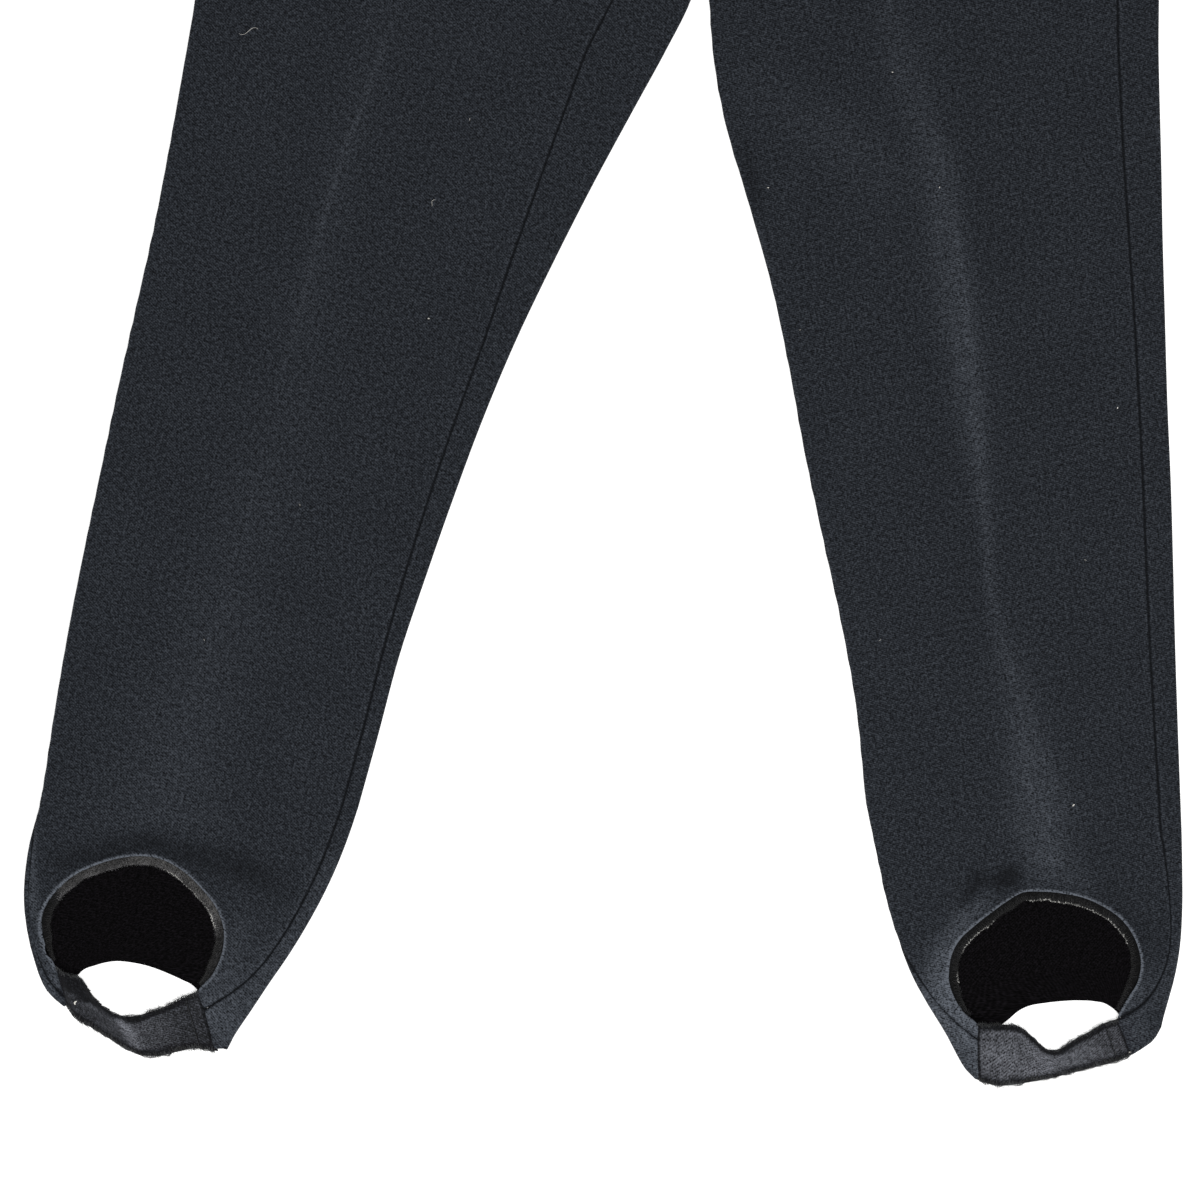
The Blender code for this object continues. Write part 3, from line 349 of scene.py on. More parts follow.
class Leg:
    """One leg with its half of the body, laid flat.

    A girth place is measured in millimetres along the upper layer from the outer side fold.
    It is below 0 round the outer fold and above the row's width round the inner one.
    """

    def __init__(self, side):
        self.side = side
        self.sign = -1 if side == "right" else 1
        self.table = LEG_RIGHT if side == "right" else LEG_LEFT
        self.hem = HEM[side]
        self.hem_start = HEM_STARTS[side]
        self.patches, self.side_places, self.fine_folds = {}, {}, {}
        self.columns = None

    def leg_value(self, name, y):
        return table_read(self.table, LEG_COLUMNS, name, y)

    def slant(self, name, y):
        """Outward direction of a side fold's outline at a height on the leg."""
        run = self.leg_value(name, y + 5) - self.leg_value(name, y - 5)
        across = np.array([10.0, -run]) / math.hypot(10.0, run)
        return across * (self.sign if name == "outer" else -self.sign)

    def seam_place(self, name, y):
        """Distance of a seam from its fold's start on the upper layer; below 0 it is on the fold."""
        far_in = self.leg_value(name, y)
        return far_in - SILHOUETTE if far_in > SILHOUETTE else HIDDEN_SEAM + far_in

    def body_slant(self, y):
        """Outward direction of the body's outline."""
        column = "outer_" + self.side
        above, below = (table_read(BODY, BODY_COLUMNS, column, at) for at in (y + 5, y - 5))
        run = above - below
        return np.array([10.0, -run]) / math.hypot(10.0, run) * self.sign

    def body_row(self, y):
        centre = table_read(BODY, BODY_COLUMNS, "centre", y) + self.sign * SEAM / 2
        outline = table_read(BODY, BODY_COLUMNS, "outer_" + self.side, y)
        out_way = self.body_slant(y)
        outer = np.array([outline, y]) - SILHOUETTE * out_way
        inner = np.array([centre, y])
        turn = inner + [self.sign * BACK_TURN, 0]
        hidden = self.side == "right"
        seam = HIDDEN_SEAM if hidden else table_read(BODY, BODY_COLUMNS, "outseam_left", y) - SILHOUETTE
        return {
            "top": [outer, inner], "bottom": [outer, turn], "width": np.linalg.norm(inner - outer),
            "out_way": out_way, "in_way": None, "rise": 3.0 * y,
            "outseam": seam, "front_in": 0.0, "back_in": HIDDEN_SEAM, "crown": CROWN_BODY,
            "gap": SEAM,
        }

    def leg_row(self, y):
        out_way, in_way = self.slant("outer", y), self.slant("inner", y)
        outer = np.array([self.leg_value("outer", y), y]) - SILHOUETTE * out_way
        inner = np.array([self.leg_value("inner", y), y]) - SILHOUETTE * in_way
        share = ease(y / self.hem_start)
        inseam = self.seam_place("inseam", y)
        return {
            "top": [outer, inner], "bottom": [outer, inner], "width": np.linalg.norm(inner - outer),
            "out_way": out_way, "in_way": in_way, "rise": 0.0,
            "outseam": self.seam_place("outseam", y), "front_in": inseam, "back_in": inseam,
            "crown": CROWN_BODY + (CROWN_HEM - CROWN_BODY) * share,
            "gap": SEAM + FORK_EASE * ease(1 + y / FORK_REACH),
        }

    def hem_edge(self, name, t):
        """A point of a side fold's outline in the hem, and its outward direction."""
        line = np.array(self.hem[name], float)
        known = along(line)
        at = np.array([t, min(t + 0.01, 1.0), max(t - 0.01, 0.0)])
        here, ahead, behind = path_read(at, known, line)
        way = (ahead - behind) / np.linalg.norm(ahead - behind)
        across = np.array([-way[1], way[0]])
        turn = self.sign if name == "outer" else -self.sign
        return here, across * turn

    def side_line(self, name):
        line = np.array(self.hem[name], float)
        return path_read(np.linspace(0, 1, 41), along(line), line)

    def hem_rim(self, name, shares):
        rim = np.array(self.hem[name], float)
        return path_read(shares, rim[:, 0], rim[:, 1:])

    def fold_line(self, name, places):
        """Where a side fold starts on the upper layer of the hem."""
        near = [self.hem_edge(name, t) for t in places]
        return np.array([point - SILHOUETTE * way for point, way in near])

    def slide(self, grid, column, name):
        """Moves the ends of the rows along a side fold, so that they meet it squarely."""
        line, places = self.fine_folds[name], self.side_places[name]
        beside = grid[1:-1, 1 if column == 0 else -2]
        gaps = np.linalg.norm(beside[:, None] - line[None], axis=2)
        wanted = gaps.argmin(axis=1) / (len(line) - 1)
        places[1:-1] += SLIDE_EASE * (wanted - places[1:-1])
        least = SLIDE_GAP * np.arange(len(places))
        places[:] = np.clip(np.maximum.accumulate(places - least) + least, least, 1 - least[::-1])
        places[:] = np.maximum(places, 1 - CORNER_GAP * np.arange(len(places))[::-1])
        known = np.linspace(0, 1, len(line))
        grid[1:-1, column] = np.stack([np.interp(places[1:-1], known, line[:, k]) for k in (0, 1)],
                                      axis=1)

    def hem_patch(self, layer):
        """The rows of a hem in plan, from the last straight section to a rim, evened out."""
        if layer in self.patches:
            return self.patches[layer]
        downs, shares = np.linspace(0, 1, PATCH_ROWS), np.linspace(0, 1, PATCH_PLACES)
        if layer == "top":
            for name in ("outer", "inner"):
                self.side_places[name] = downs.copy()
                self.fine_folds[name] = self.fold_line(name, np.linspace(0, 1, FOLD_PLACES))
        edges = {name: self.fold_line(name, self.side_places[name]) for name in ("outer", "inner")}
        t, s = downs[:, None, None], shares[None, :, None]
        outer, inner = edges["outer"][:, None], edges["inner"][:, None]
        rim = self.hem_rim("arch" if layer == "top" else "heel", shares)[None]
        rim = rim + (outer[-1] - rim[:, 0]) * (1 - ease(s / 0.05))
        rim = rim + (inner[-1] - rim[:, -1]) * ease((s - 0.97) / 0.03)
        section = (1 - s) * outer[0] + s * inner[0]
        grid = (1 - t) * section + t * rim
        for edge, pull in ((outer, 1 - ease(s / HEM_PULL)),
                           (inner, ease((s - 1 + HEM_PULL) / HEM_PULL))):
            grid = grid + pull * (edge - (1 - t) * edge[0] - t * edge[-1])
        for count in range(PATCH_ROUNDS):
            if layer == "top" and count % SLIDE_EVERY == SLIDE_EVERY - 1:
                self.slide(grid, 0, "outer")
                self.slide(grid, -1, "inner")
            down = (grid[2:, 1:-1] - grid[:-2, 1:-1]) / 2
            across = (grid[1:-1, 2:] - grid[1:-1, :-2]) / 2
            long, wide = (down**2).sum(axis=2, keepdims=True), (across**2).sum(axis=2, keepdims=True)
            slant = (down * across).sum(axis=2, keepdims=True)
            twist = grid[2:, 2:] - grid[2:, :-2] - grid[:-2, 2:] + grid[:-2, :-2]
            beside, beyond = grid[1:-1, 2:] + grid[1:-1, :-2], grid[2:, 1:-1] + grid[:-2, 1:-1]
            grid[1:-1, 1:-1] = (long * beside + wide * beyond - slant * twist / 2) / (2 * (long + wide))
        self.patches[layer] = grid
        return grid

    def hem_row(self, t):
        """A row between the last straight section and the rim."""
        row = dict(self.leg_row(self.hem_start))
        place = t * (PATCH_ROWS - 1)
        above = min(int(place), PATCH_ROWS - 2)
        for layer in ("top", "bottom"):
            patch = self.hem_patch(layer)
            row[layer] = list(patch[above] + (patch[above + 1] - patch[above]) * (place - above))
            row[layer + "_rim"] = patch[-1]
        ways = {}
        for name, places in self.side_places.items():
            along_side = places[above] + (places[above + 1] - places[above]) * (place - above)
            ways[name] = self.hem_edge(name, along_side)[1]
        seams = {name: np.array(self.hem[name], float) for name in ("outseam", "inseam")}
        for name in seams:
            row[name] = smooth_read(np.array([t]), seams[name][:, 0], seams[name][:, 1])[0]
        row.update(
            out_way=ways["outer"], in_way=ways["inner"], front_in=row["inseam"], back_in=row["inseam"],
            crown=CROWN_HEM * (1 - 0.8 * ease((t - 0.3) / 0.7)), t=t,
        )
        return row

    def tab_end(self, name):
        """The toe and heel corners of a strap where it meets a tab."""
        k = 0 if name == "outer" else 1
        shares = (self.hem["arch_span"][k], self.hem["heel_corners"][k])
        rim = np.array(self.hem_row(1.0)["top_rim"])
        known = np.linspace(0, 1, len(rim))
        toe, heel = (np.array([np.interp(share, known, rim[:, k]) for k in (0, 1)]) for share in shares)
        way = (heel - toe) / np.linalg.norm(heel - toe)
        off = np.array([-way[1], way[0]])
        towards_strap = -self.sign if name == "outer" else self.sign
        off = off * np.sign(off[0]) * towards_strap
        return toe + STRAP_OFF_TAB * off, heel + STRAP_OFF_TAB * off + STRAP_CORNER * way

    def rows(self, leg_step=LEG_STEP):
        places = [self.body_row(y) for y in BODY_ROWS] + [self.leg_row(y) for y in FORK_ROWS]
        count = round((FORK_ROWS[-1] - self.hem_start) / leg_step)
        places += [self.leg_row(y) for y in np.linspace(FORK_ROWS[-1], self.hem_start, count + 1)[1:]]
        return places + [self.hem_row(t) for t in HEM_ROWS[1:]]

    def crease_line(self, y):
        rows = np.array(self.table, float)
        return smooth_read(y, rows[:, 0], rows[:, LEG_COLUMNS.index("crease")])

    def ripples(self, plan):
        """Soft hollows and swells of cloth that has been worn, folded and laid out."""
        up = np.zeros(len(plan))
        for values in RIPPLES[self.side]:
            ripple = dict(zip(RIPPLE_COLUMNS, values))
            start = np.array([ripple["x0"], ripple["y0"]])
            way = np.array([ripple["x1"], ripple["y1"]]) - start
            run = np.clip(((plan - start) @ way) / (way @ way), 0, 1)
            gap = np.linalg.norm(plan - start - run[:, None] * way, axis=1)
            up = up + ripple["height"] * np.sin(math.pi * run) * np.exp(-((gap / ripple["half"]) ** 2))
        for k, (x, y) in enumerate(plan):
            up[k] += SWELL * noise.noise((x / 75, y / 130, 3.1 + self.sign))
            up[k] += QUIVER * noise.noise((x / 21, y / 34, 7.7 + self.sign))
        return up

    def hollows(self, plan):
        """The under layer's creases: it lies on the surface, and is only lifted off it in places."""
        lift = [max(0.0, noise.noise((x / 34, y / 90, 15.3 + self.sign)) - 0.12) for x, y in plan]
        return HOLLOW * np.array(lift)

    def flat_place(self, row, girth):
        """Where points of a row are on the flat cloth: across the grain and along it, from the fork."""
        foot = self.table[-1]
        top = self.table[0]
        grain = np.array([foot[5] - top[5], foot[0] - top[0]], float)
        grain /= np.linalg.norm(grain)
        across = np.array([-grain[1], grain[0]])
        width, half_turn = row["width"], math.pi * FOLD
        layers = {name: np.array(row[name]) for name in ("top", "bottom")}

        def read(name, share):
            line = layers[name]
            return np.stack([np.interp(share, np.linspace(0, 1, len(line)), line[:, k])
                             for k in (0, 1)], axis=1)

        plan = read("top", np.clip(girth / width, 0, 1))
        place = np.column_stack([plan @ across, plan @ grain])
        for start, past in ((0, -girth), (1, girth - width)):
            base = read("top", np.full(len(girth), float(start)))
            out = np.sign((base - read("top", np.full(len(girth), 0.5))) @ across)
            inwards = np.clip((past - half_turn) / width, 0, 1)
            below = read("bottom", inwards if start == 0 else 1 - inwards)
            further = (np.clip(past, 0, half_turn)
                       + np.where(past > half_turn, abs((base - below) @ across), 0))
            along_grain = np.where(past > half_turn, below @ grain, base @ grain)
            beyond = np.column_stack([base @ across + out * further, along_grain])
            place = np.where((past > 0)[:, None], beyond, place)
        return place

    def relief(self, row, shares, plan):
        """How far the upper layer stands above its side folds."""
        width = row["width"]
        from_out, from_in = shares * width, (1 - shares) * width + row["rise"]
        room = (1 - np.exp(-from_out / CROWN_REACH)) * (1 - np.exp(-from_in / CROWN_REACH))
        up = row["crown"] * room
        for values in SOFT_FOLDS[self.side]:
            fold = dict(zip(FOLD_COLUMNS, values))
            start = np.array([fold["x0"], fold["y0"]])
            way = np.array([fold["x1"], fold["y1"]]) - start
            run = np.clip(((plan - start) @ way) / (way @ way), 0, 1)
            gap = np.linalg.norm(plan - start - run[:, None] * way, axis=1)
            swell = np.sin(math.pi * (0.15 + 0.7 * run))
            up = up + fold["height"] * room * swell * np.exp(-((gap / fold["width"]) ** 2))
        crease_at = self.crease_line(plan[:, 1])
        fade = ease((plan[:, 1] - CREASE_FOOT) / CREASE_FOOT_FADE)
        fade = fade * ease((CREASE_TOP - plan[:, 1]) / CREASE_TOP_FADE)
        up = up + CREASE_HEIGHT * fade * np.exp(-(((plan[:, 0] - crease_at) / CREASE_WIDTH) ** 2))
        up = up + room * self.ripples(plan)
        if "t" in row:
            low, high = self.hem["arch_span"]
            rim_shares = np.linspace(low, high, LIP_PLACES)
            gaps = np.linalg.norm(plan[:, None] - self.hem_rim("arch", rim_shares)[None], axis=2)
            nearest = rim_shares[gaps.argmin(axis=1)]
            gap = gaps.min(axis=1)
            inside = ease((nearest - low) / LIP_ENDS) * ease((high - nearest) / LIP_ENDS)
            sides = np.concatenate([self.side_line("outer"), self.side_line("inner")])
            arch = self.hem_rim("arch", nearest)
            beside = np.linalg.norm(arch[:, None] - sides[None], axis=2).min(axis=1)
            inside = inside * ease(beside / LIP_ROOM)
            up = up * (1 - 0.5 * inside * np.exp(-gap / LIP_HOLLOW))
            up = up + LIP_HEIGHT * inside * np.exp(-((gap / LIP_WIDTH) ** 2))
        return up

    def point(self, row, girth):
        """Points of the middle of the cloth at some girth places of a row."""
        girth = np.asarray(girth, float)
        width, half_turn = row["width"], math.pi * FOLD
        layers = {}
        for name in ("top", "bottom"):
            line = np.array(row[name])
            known = np.linspace(0, 1, len(line))
            layers[name] = (known, line)
        result = np.zeros((len(girth), 3))

        def read(name, share):
            known, line = layers[name]
            return np.stack([np.interp(share, known, line[:, k]) for k in (0, 1)], axis=1)

        on_top = (girth >= 0) & (girth <= width)
        share = np.clip(girth / width, 0, 1)
        plan = read("top", share)
        lift = HIGH + self.relief(row, share, plan)
        result[on_top] = np.column_stack([plan, lift])[on_top]
        for start, past, way in ((0, -girth, row["out_way"]), (1, girth - width, row["in_way"])):
            on_fold = (past > 0) & (past <= half_turn)
            under = past > half_turn
            base = read("top" if way is not None else "bottom", np.full(len(girth), float(start)))
            if way is None:
                turn = (half_turn - past) / (half_turn + row["back_in"])
                spot = base + turn[:, None] * np.array([-self.sign * (BACK_TURN - SEAM / 2), 0])
                fold = np.column_stack([spot, np.full(len(girth), LOW)])
            else:
                angle = past / FOLD
                spot = base + FOLD * np.sin(angle)[:, None] * way
                fold = np.column_stack([spot, LOW + FOLD + FOLD * np.cos(angle)])
            result[on_fold] = fold[on_fold]
            inwards = np.clip((past - half_turn) / width, 0, 1)
            flat = read("bottom", inwards if start == 0 else 1 - inwards)
            hollow = np.minimum(inwards, 1 - inwards) * width
            lift = LOW + (1 - np.exp(-hollow / CROWN_REACH)) * self.hollows(flat)
            result[under] = np.column_stack([flat, lift])[under]
        return result

    def front_span(self, row):
        gap = row["gap"] / 2 if row["in_way"] is not None else 0
        return row["outseam"] + SEAM / 2, row["width"] - row["front_in"] - gap

    def front_columns(self):
        """Shares of the front's width for its columns; one of them meets each corner of the arch."""
        ends = np.array(FRONT_ENDS)
        middle = np.linspace(ends[-1], 1 - ends[-1], FRONT_MIDDLE + 2)[1:-1]
        shares = np.concatenate([ends, middle, 1 - ends[::-1]])
        row = self.hem_row(1.0)
        first, last = self.front_span(row)
        for corner in self.hem["arch_span"]:
            share = (corner * row["width"] - first) / (last - first)
            if shares[1] < share < shares[-2]:
                shares[abs(shares - share).argmin()] = share
        return shares

    def front_girths(self, row):
        if self.columns is None:
            self.columns = self.front_columns()
        first, last = self.front_span(row)
        return first + (last - first) * self.columns

    def wrap_girths(self, seam_in, gap):
        """Distances from the underside to a seam, round a side fold."""
        total = math.pi * FOLD + seam_in - gap / 2
        on_top = max(seam_in - gap / 2, 0.15 * total)
        arc = total - on_top
        places = [arc * k / ARC_STEPS for k in range(ARC_STEPS + 1)]
        return np.array(places + [arc + on_top * share for share in TOP_STEPS])

    def back_girths(self, row):
        """Girth places from the inner seam, under the leg, to the outer seam."""
        half_turn = math.pi * FOLD
        inner = row["width"] + half_turn - self.wrap_girths(row["back_in"], row["gap"])
        outer = -half_turn + self.wrap_girths(row["outseam"], SEAM)
        under = row["width"] * np.linspace(0, 1, UNDER_STEPS + 1)[1:-1]
        return np.concatenate([inner[::-1], row["width"] + half_turn + under, outer])


def line_ways(grid, axis):
    """Direction of a grid's lines at each of its points, however unevenly they are spaced."""
    lines = np.moveaxis(grid, axis, 0)
    steps = np.diff(lines, axis=0)
    length = np.linalg.norm(steps, axis=2, keepdims=True)
    way = steps / length
    before, after = length[:-1], length[1:]
    ways = np.empty_like(lines)
    ways[1:-1] = (way[:-1] * after + way[1:] * before) / (before + after)
    ways[0] = 2 * way[0] - ways[1]
    ways[-1] = 2 * way[-1] - ways[-2]
    return np.moveaxis(ways, 0, axis)


# The view: a frame of this width seen from straight above, turned a little
VIEW_CENTRE, VIEW_TURN = (-27.97, -404.10), math.radians(5.2)
VIEW_WIDTH, VIEW_HEIGHT, SENSOR = 744.0, 2000.0, 36.0
PIXEL, PIXEL_ORIGIN = 0.62, (704.0, -45.0)  # millimetres, and the fork's place in pixels

# Cloth that has faded, worn or been stained, and painted light and shade where it faces the light,
# faces away from it or lies in a hollow, as strokes in pixels of the view.
# Columns are x, y, half width in millimetres and strength: above 0 faded or painted lighter, below 0
# stained or painted darker.
STROKE_COLUMNS = ("x", "y", "half", "strength")
WEAR_LIGHT_AND_SHADE_STROKES = {
    "right": [
        # Painted sheen, broad down the leg beside its crease
        [(387, 0, 12, 0.15), (340, 170, 14, 0.25), (290, 400, 18, 0.15), (240, 560, 26, 0.25),
         (190, 700, 30, 0.4), (165, 800, 34, 0.45)],
        [(387, 38, 1.3, 0.5), (357, 122, 1.3, 0.7), (337, 172, 1.3, 0.7), (311, 264, 1.4, 0.6),
         (299, 314, 1.4, 0.4), (280, 383, 1.6, 0.1)],
        # Painted highlight along the outer fold's edge where it turns to the light, and the edge's wear
        [(58, 700, 2.2, 0.5), (33, 820, 2.2, 0.9), (33, 900, 3, 1.2), (46, 950, 5, 1.3)],
        # Painted shade in the hollow behind the arch's lip
        [(60, 862, 8, -0.4), (150, 842, 10, -0.9), (240, 866, 10, -0.7), (290, 890, 9, -0.3)],
        [(330, 865, 9, 0.5), (300, 930, 10, 0.7), (262, 985, 12, 1.1), (225, 1030, 14, 1.5)],
        [(240, 930, 10, 0.5), (225, 975, 10, 1.0), (205, 1010, 10, 1.4)],
        [(62, 950, 7, 1.2), (50, 985, 8, 1.3)],
    ],
    "left": [
        [(885, 0, 9, 0.3), (908, 86, 10, 0.45), (933, 150, 11, 0.7), (948, 247, 11.5, 0.95),
         (962, 344, 11.5, 0.95),
         (974, 431, 9, 0.85), (986, 517, 5, 0.5), (992, 603, 5, 0.4), (1016, 689, 10, 0.6),
         (1030, 760, 15, 1.1), (1040, 820, 17, 1.2), (1046, 866, 12, 0.9)],
        [(950, 160, 2.2, 0.2), (958, 247, 2.6, 0.4), (970, 344, 2.6, 0.4), (978, 431, 2.6, 0.4),
         (984, 517, 2.2, 0.4), (990, 603, 2.2, 0.3)],
        # Painted sheen on the upper thigh
        [(760, 90, 16, 0.2), (820, 130, 20, 0.3), (880, 170, 16, 0.25)],
        [(743, 152, 6, -0.4), (756, 200, 8, -0.4)],
        # Painted light low on the leg where the cloth faces the light, with some fading
        [(996, 872, 6, 0.5), (972, 912, 8, 1.4), (948, 960, 11, 2.6), (940, 1000, 12, 3.4),
         (985, 1050, 16, 3.6)],
        # Painted shadow above the arch's upper left
        [(966, 902, 5, -1.0), (982, 884, 8, -1.3), (1008, 876, 7, -1.1)],
        [(1146, 975, 8, 0.4), (1130, 1010, 10, 0.9), (1140, 1040, 10, 0.8)],
        [(1100, 905, 18, -0.25), (1142, 940, 14, -0.3)],
        [(1184, 850, 3, 0.4), (1184, 930, 4, 0.6), (1170, 1000, 8, 0.7)],
        [(1060, 862, 12, 0.35), (1085, 888, 7, 0.4)],
    ],
    "strap_right": [
        # Painted highlight along the strap's rolled crest, where it turns to the light
        [(85, 1003, 1.6, 0.5), (108, 1014, 1.8, 2.0), (121, 1021, 2.6, 3.2), (130, 1034, 3, 2.2),
         (138, 1048, 4, 1.2)],
        # Painted shade on the rolled toe edge below the crest
        [(60, 964, 5, -3.0), (74, 980, 5, -3.0), (86, 998, 2.5, -2.0)],
        [(150, 1030, 12, 0.6), (110, 1026, 9, 0.3)],
        [(185, 1020, 12, -0.2), (205, 1035, 10, -0.2)],
    ],
    "strap_left": [
        [(990, 1062, 16, 0.3), (1050, 1064, 10, 1.0), (1088, 1052, 6, 0.4)],
        [(1110, 1040, 10, -0.6), (1122, 1030, 8, -0.5)],
    ],
}
NARROWEST_CUT = 10.0  # a facing is cut this wide, with what its seam takes
# How much lighter each strap is, for its wear and as painted light where it tilts to the light
STRAP_WEAR_AND_LIGHT = {"right": 0.15, "left": 1.1}
# How grey an arch's facing has rubbed, from the view's left foot of the arch to its right foot
FACING_WEAR = {
    "right": ((0, -0.9), (0.18, -0.9), (0.25, 1.0), (0.42, 0.5), (0.5, 1.3), (0.74, 1.4),
              (0.84, 0.2), (1, 0.1)),
    "left": ((0, -1.4), (0.1, -1.2), (0.2, -0.6), (0.36, -1.0), (0.5, -0.7), (0.75, -0.6),
             (0.82, -1.4), (1, -1.4)),
}
# Where the facing's overlock is grey, and where it has fluffed up, as shares of the same way round
GREY_THREAD = {"right": (0.2, 0.84), "left": (0.6, 0.6)}
FLUFFED = {"right": ((0.56, 0.82),), "left": ((0.1, 0.14), (0.2, 0.34), (0.45, 0.8))}
TWILL_ANGLE, RIB = math.radians(62), 1.3  # the ribs' slant and their spacing
TWILL_FINISH = {"yarn": 1.2, "fade": 0.14, "relief": 0.3, "roughness": 0.84, "specular": 0.09,
                "sheen": 0.02,
                "catch": (0.0, 1.9)}
STITCH_SIZES = ("Pitch", "Thread", "Reach", "Bulge", "Swing", "Spread")
LIGHTS = (  # name, place in metres, side and power
    ("overhead_softbox", (0.2, 0.3, 2.9), 2.2, 45.0),
    ("key_softbox", (0.3, -2.3, 1.4), 0.9, 33.0),
)
WORLD_LIGHT, TABLE_GLOW = 0.56, 0.35
BUTTON_HOLES, HOLE_RADIUS = 2.1, 0.75  # the holes' place from the middle, and their size
FLY_REACH, FLY_FOOT = 36.0, 96.0
STRAP_STITCH_IN = 8.0  # a strap is stitched this far in from one of its seams
STITCHED_END = {"right": "inner", "left": "outer"}
CORNER_GAP = 0.055  # a hem's last rows are this far apart on its side folds, as shares of them
SEAM_DIP, SEAM_REACH, PUCKER = 0.42, 1.3, 14.0  # a seam's drop and reach, and its pucker's length
ALLOWANCE, ALLOWANCE_RISE = 7.0, 0.16  # the seam allowances under it print through this far out
RIM_ROLL, RIM_REACH = 0.7, 1.4  # an arch's edge turns down by this much over this far

# Fine grids of the small pieces
FACING_PLACES = (-2.6, -1.6, -0.8, 0.0, 0.7, 1.4, 2.2, 3.0, 3.8, 4.6, 5.2, 5.6)
FACING_FINE, STRAP_FINE, STRAP_ACROSS, BAND_ROWS = 200, 150, 40, 18
EDGE_PLACES = (0.0, 0.002, 0.006, 0.012, 0.02, 0.035)
TAB_TURN = ((0.3, 0.35), (0.55, 1.0), (0.8, 1.55), (1.6, 1.7), (2.6, 1.75))  # reach and drop at a tab
SEAM_TURN = ((SEAM / 2 - 0.02, 0.04),)  # a panel's edges meet at its seams
ROLL_SHADE = 2.6  # painted shade on the rolled edge, which turns away from the light
RAGGED = 1.6
STRAP_CREST = {"right": (11.0, 8.0, 5.0, 3.0, 3.0), "left": (3.5, 4.0, 4.5, 4.0, 4.0)}
STRAP_CURL = {"right": (2.4, 2.4, 1.7, 0.9, 0.7), "left": (0.9, 1.2, 1.3, 1.2, 0.8)}


def to_world(points):
    return points - [CENTRE_X, CENTRE_Y, 0]


def from_view(places):
    """Lay coordinates of places given in pixels of the view."""
    x, down = (np.asarray(places, float) - PIXEL_ORIGIN).T * PIXEL
    cos, sin = math.cos(VIEW_TURN), math.sin(VIEW_TURN)
    return np.column_stack([x * cos + down * sin, x * sin - down * cos])


def nearest_on(line, plan):
    """Distance of points from a line in plan, and the share of its points where they are nearest."""
    best, place = np.full(len(plan), np.inf), np.zeros(len(plan))
    for k in range(len(line) - 1):
        way = line[k + 1] - line[k]
        run = np.clip(((plan - line[k]) @ way) / (way @ way), 0, 1)
        gap = np.linalg.norm(plan - line[k] - run[:, None] * way, axis=1)
        place = np.where(gap < best, k + run, place)
        best = np.minimum(gap, best)
    return best, place


def wear_light_and_shade_at(side, plan):
    """How much the cloth has faded or is painted lighter, above 0, or is stained or painted darker,
    below 0.
    """
    total = np.zeros(len(plan))
    for stroke in WEAR_LIGHT_AND_SHADE_STROKES[side]:
        columns = dict(zip(STROKE_COLUMNS, np.array(stroke, float).T))
        line = from_view(np.column_stack([columns["x"], columns["y"]]))
        gap, place = nearest_on(line, plan)
        steps = np.arange(len(line))
        half = np.interp(place, steps, columns["half"])
        total += np.interp(place, steps, columns["strength"]) * np.exp(-((gap / half) ** 2))
    return total


def normals_of(middle):
    normal = np.cross(line_ways(middle, 1), line_ways(middle, 0))
    return normal / np.linalg.norm(normal, axis=2, keepdims=True)


def line_runs(middle, axis):
    """Length along a grid's lines from each of their two ends."""
    steps = np.linalg.norm(np.diff(middle, axis=axis), axis=2)
    first = np.zeros_like(steps.take([0], axis=axis))
    run = np.concatenate([first, np.cumsum(steps, axis=axis)], axis=axis)
    return run, run.take([-1], axis=axis) - run


def edge_distance(middle):
    runs = [*line_runs(middle, 0), *line_runs(middle, 1)]
    return np.minimum.reduce(runs)


def shell(name, middle, wall, flat, facts, outside, inside):
    """A closed wall about a grid of middle points, with rounded edges, a flat map and named values."""
    normal = normals_of(middle)
    depth = np.clip(edge_distance(middle) / (wall / 2), 0, 1)
    half = wall / 2 * np.sqrt(1 - (1 - depth) ** 2 * 0.9)
    over, under = middle + normal * half[..., None], middle - normal * half[..., None]
    rows, columns = middle.shape[:2]
    index = np.arange(rows * columns).reshape(rows, columns)
    a, b, c, d = index[:-1, :-1], index[1:, :-1], index[1:, 1:], index[:-1, 1:]
    above = np.stack([d, c, b, a], axis=-1).reshape(-1, 4)
    below = np.stack([a, b, c, d], axis=-1).reshape(-1, 4) + index.size
    ring = np.concatenate([index[0], index[1:, -1], index[-1, -2::-1], index[-2:0:-1, 0]])
    following = np.roll(ring, -1)
    rim = np.column_stack([following, ring, ring + index.size, following + index.size])
    faces = np.concatenate([above, below, rim])
    points = np.concatenate([over.reshape(-1, 3), under.reshape(-1, 3)])
    mesh = bpy.data.meshes.new(name)
    mesh.from_pydata((points * MM).tolist(), [], faces.tolist())
    mesh.shade_smooth()
    mesh.materials.append(outside)
    mesh.materials.append(inside)
    mesh.polygons.foreach_set("material_index",
                              np.repeat([0, 1, 0], [len(above), len(below), len(rim)]))
    places = np.tile(flat.reshape(-1, 2), (2, 1))
    corners = np.empty(len(mesh.loops), np.int32)
    mesh.loops.foreach_get("vertex_index", corners)
    mesh.uv_layers.new(name="cloth_mm").uv.foreach_set("vector", places[corners].ravel())
    for fact, values in facts.items():
        attribute = mesh.attributes.new(fact, "FLOAT", "POINT")
        attribute.data.foreach_set("value", np.tile(values.ravel(), 2))
    thing = bpy.data.objects.new(name, mesh)
    bpy.context.collection.objects.link(thing)
    return thing


def area_of(middle):
    """Area of a grid of points, in square metres."""
    a, b, c, d = middle[:-1, :-1], middle[1:, :-1], middle[1:, 1:], middle[:-1, 1:]
    halves = np.linalg.norm(np.cross(c - a, d - b), axis=2) / 2
    return halves.sum() * MM * MM


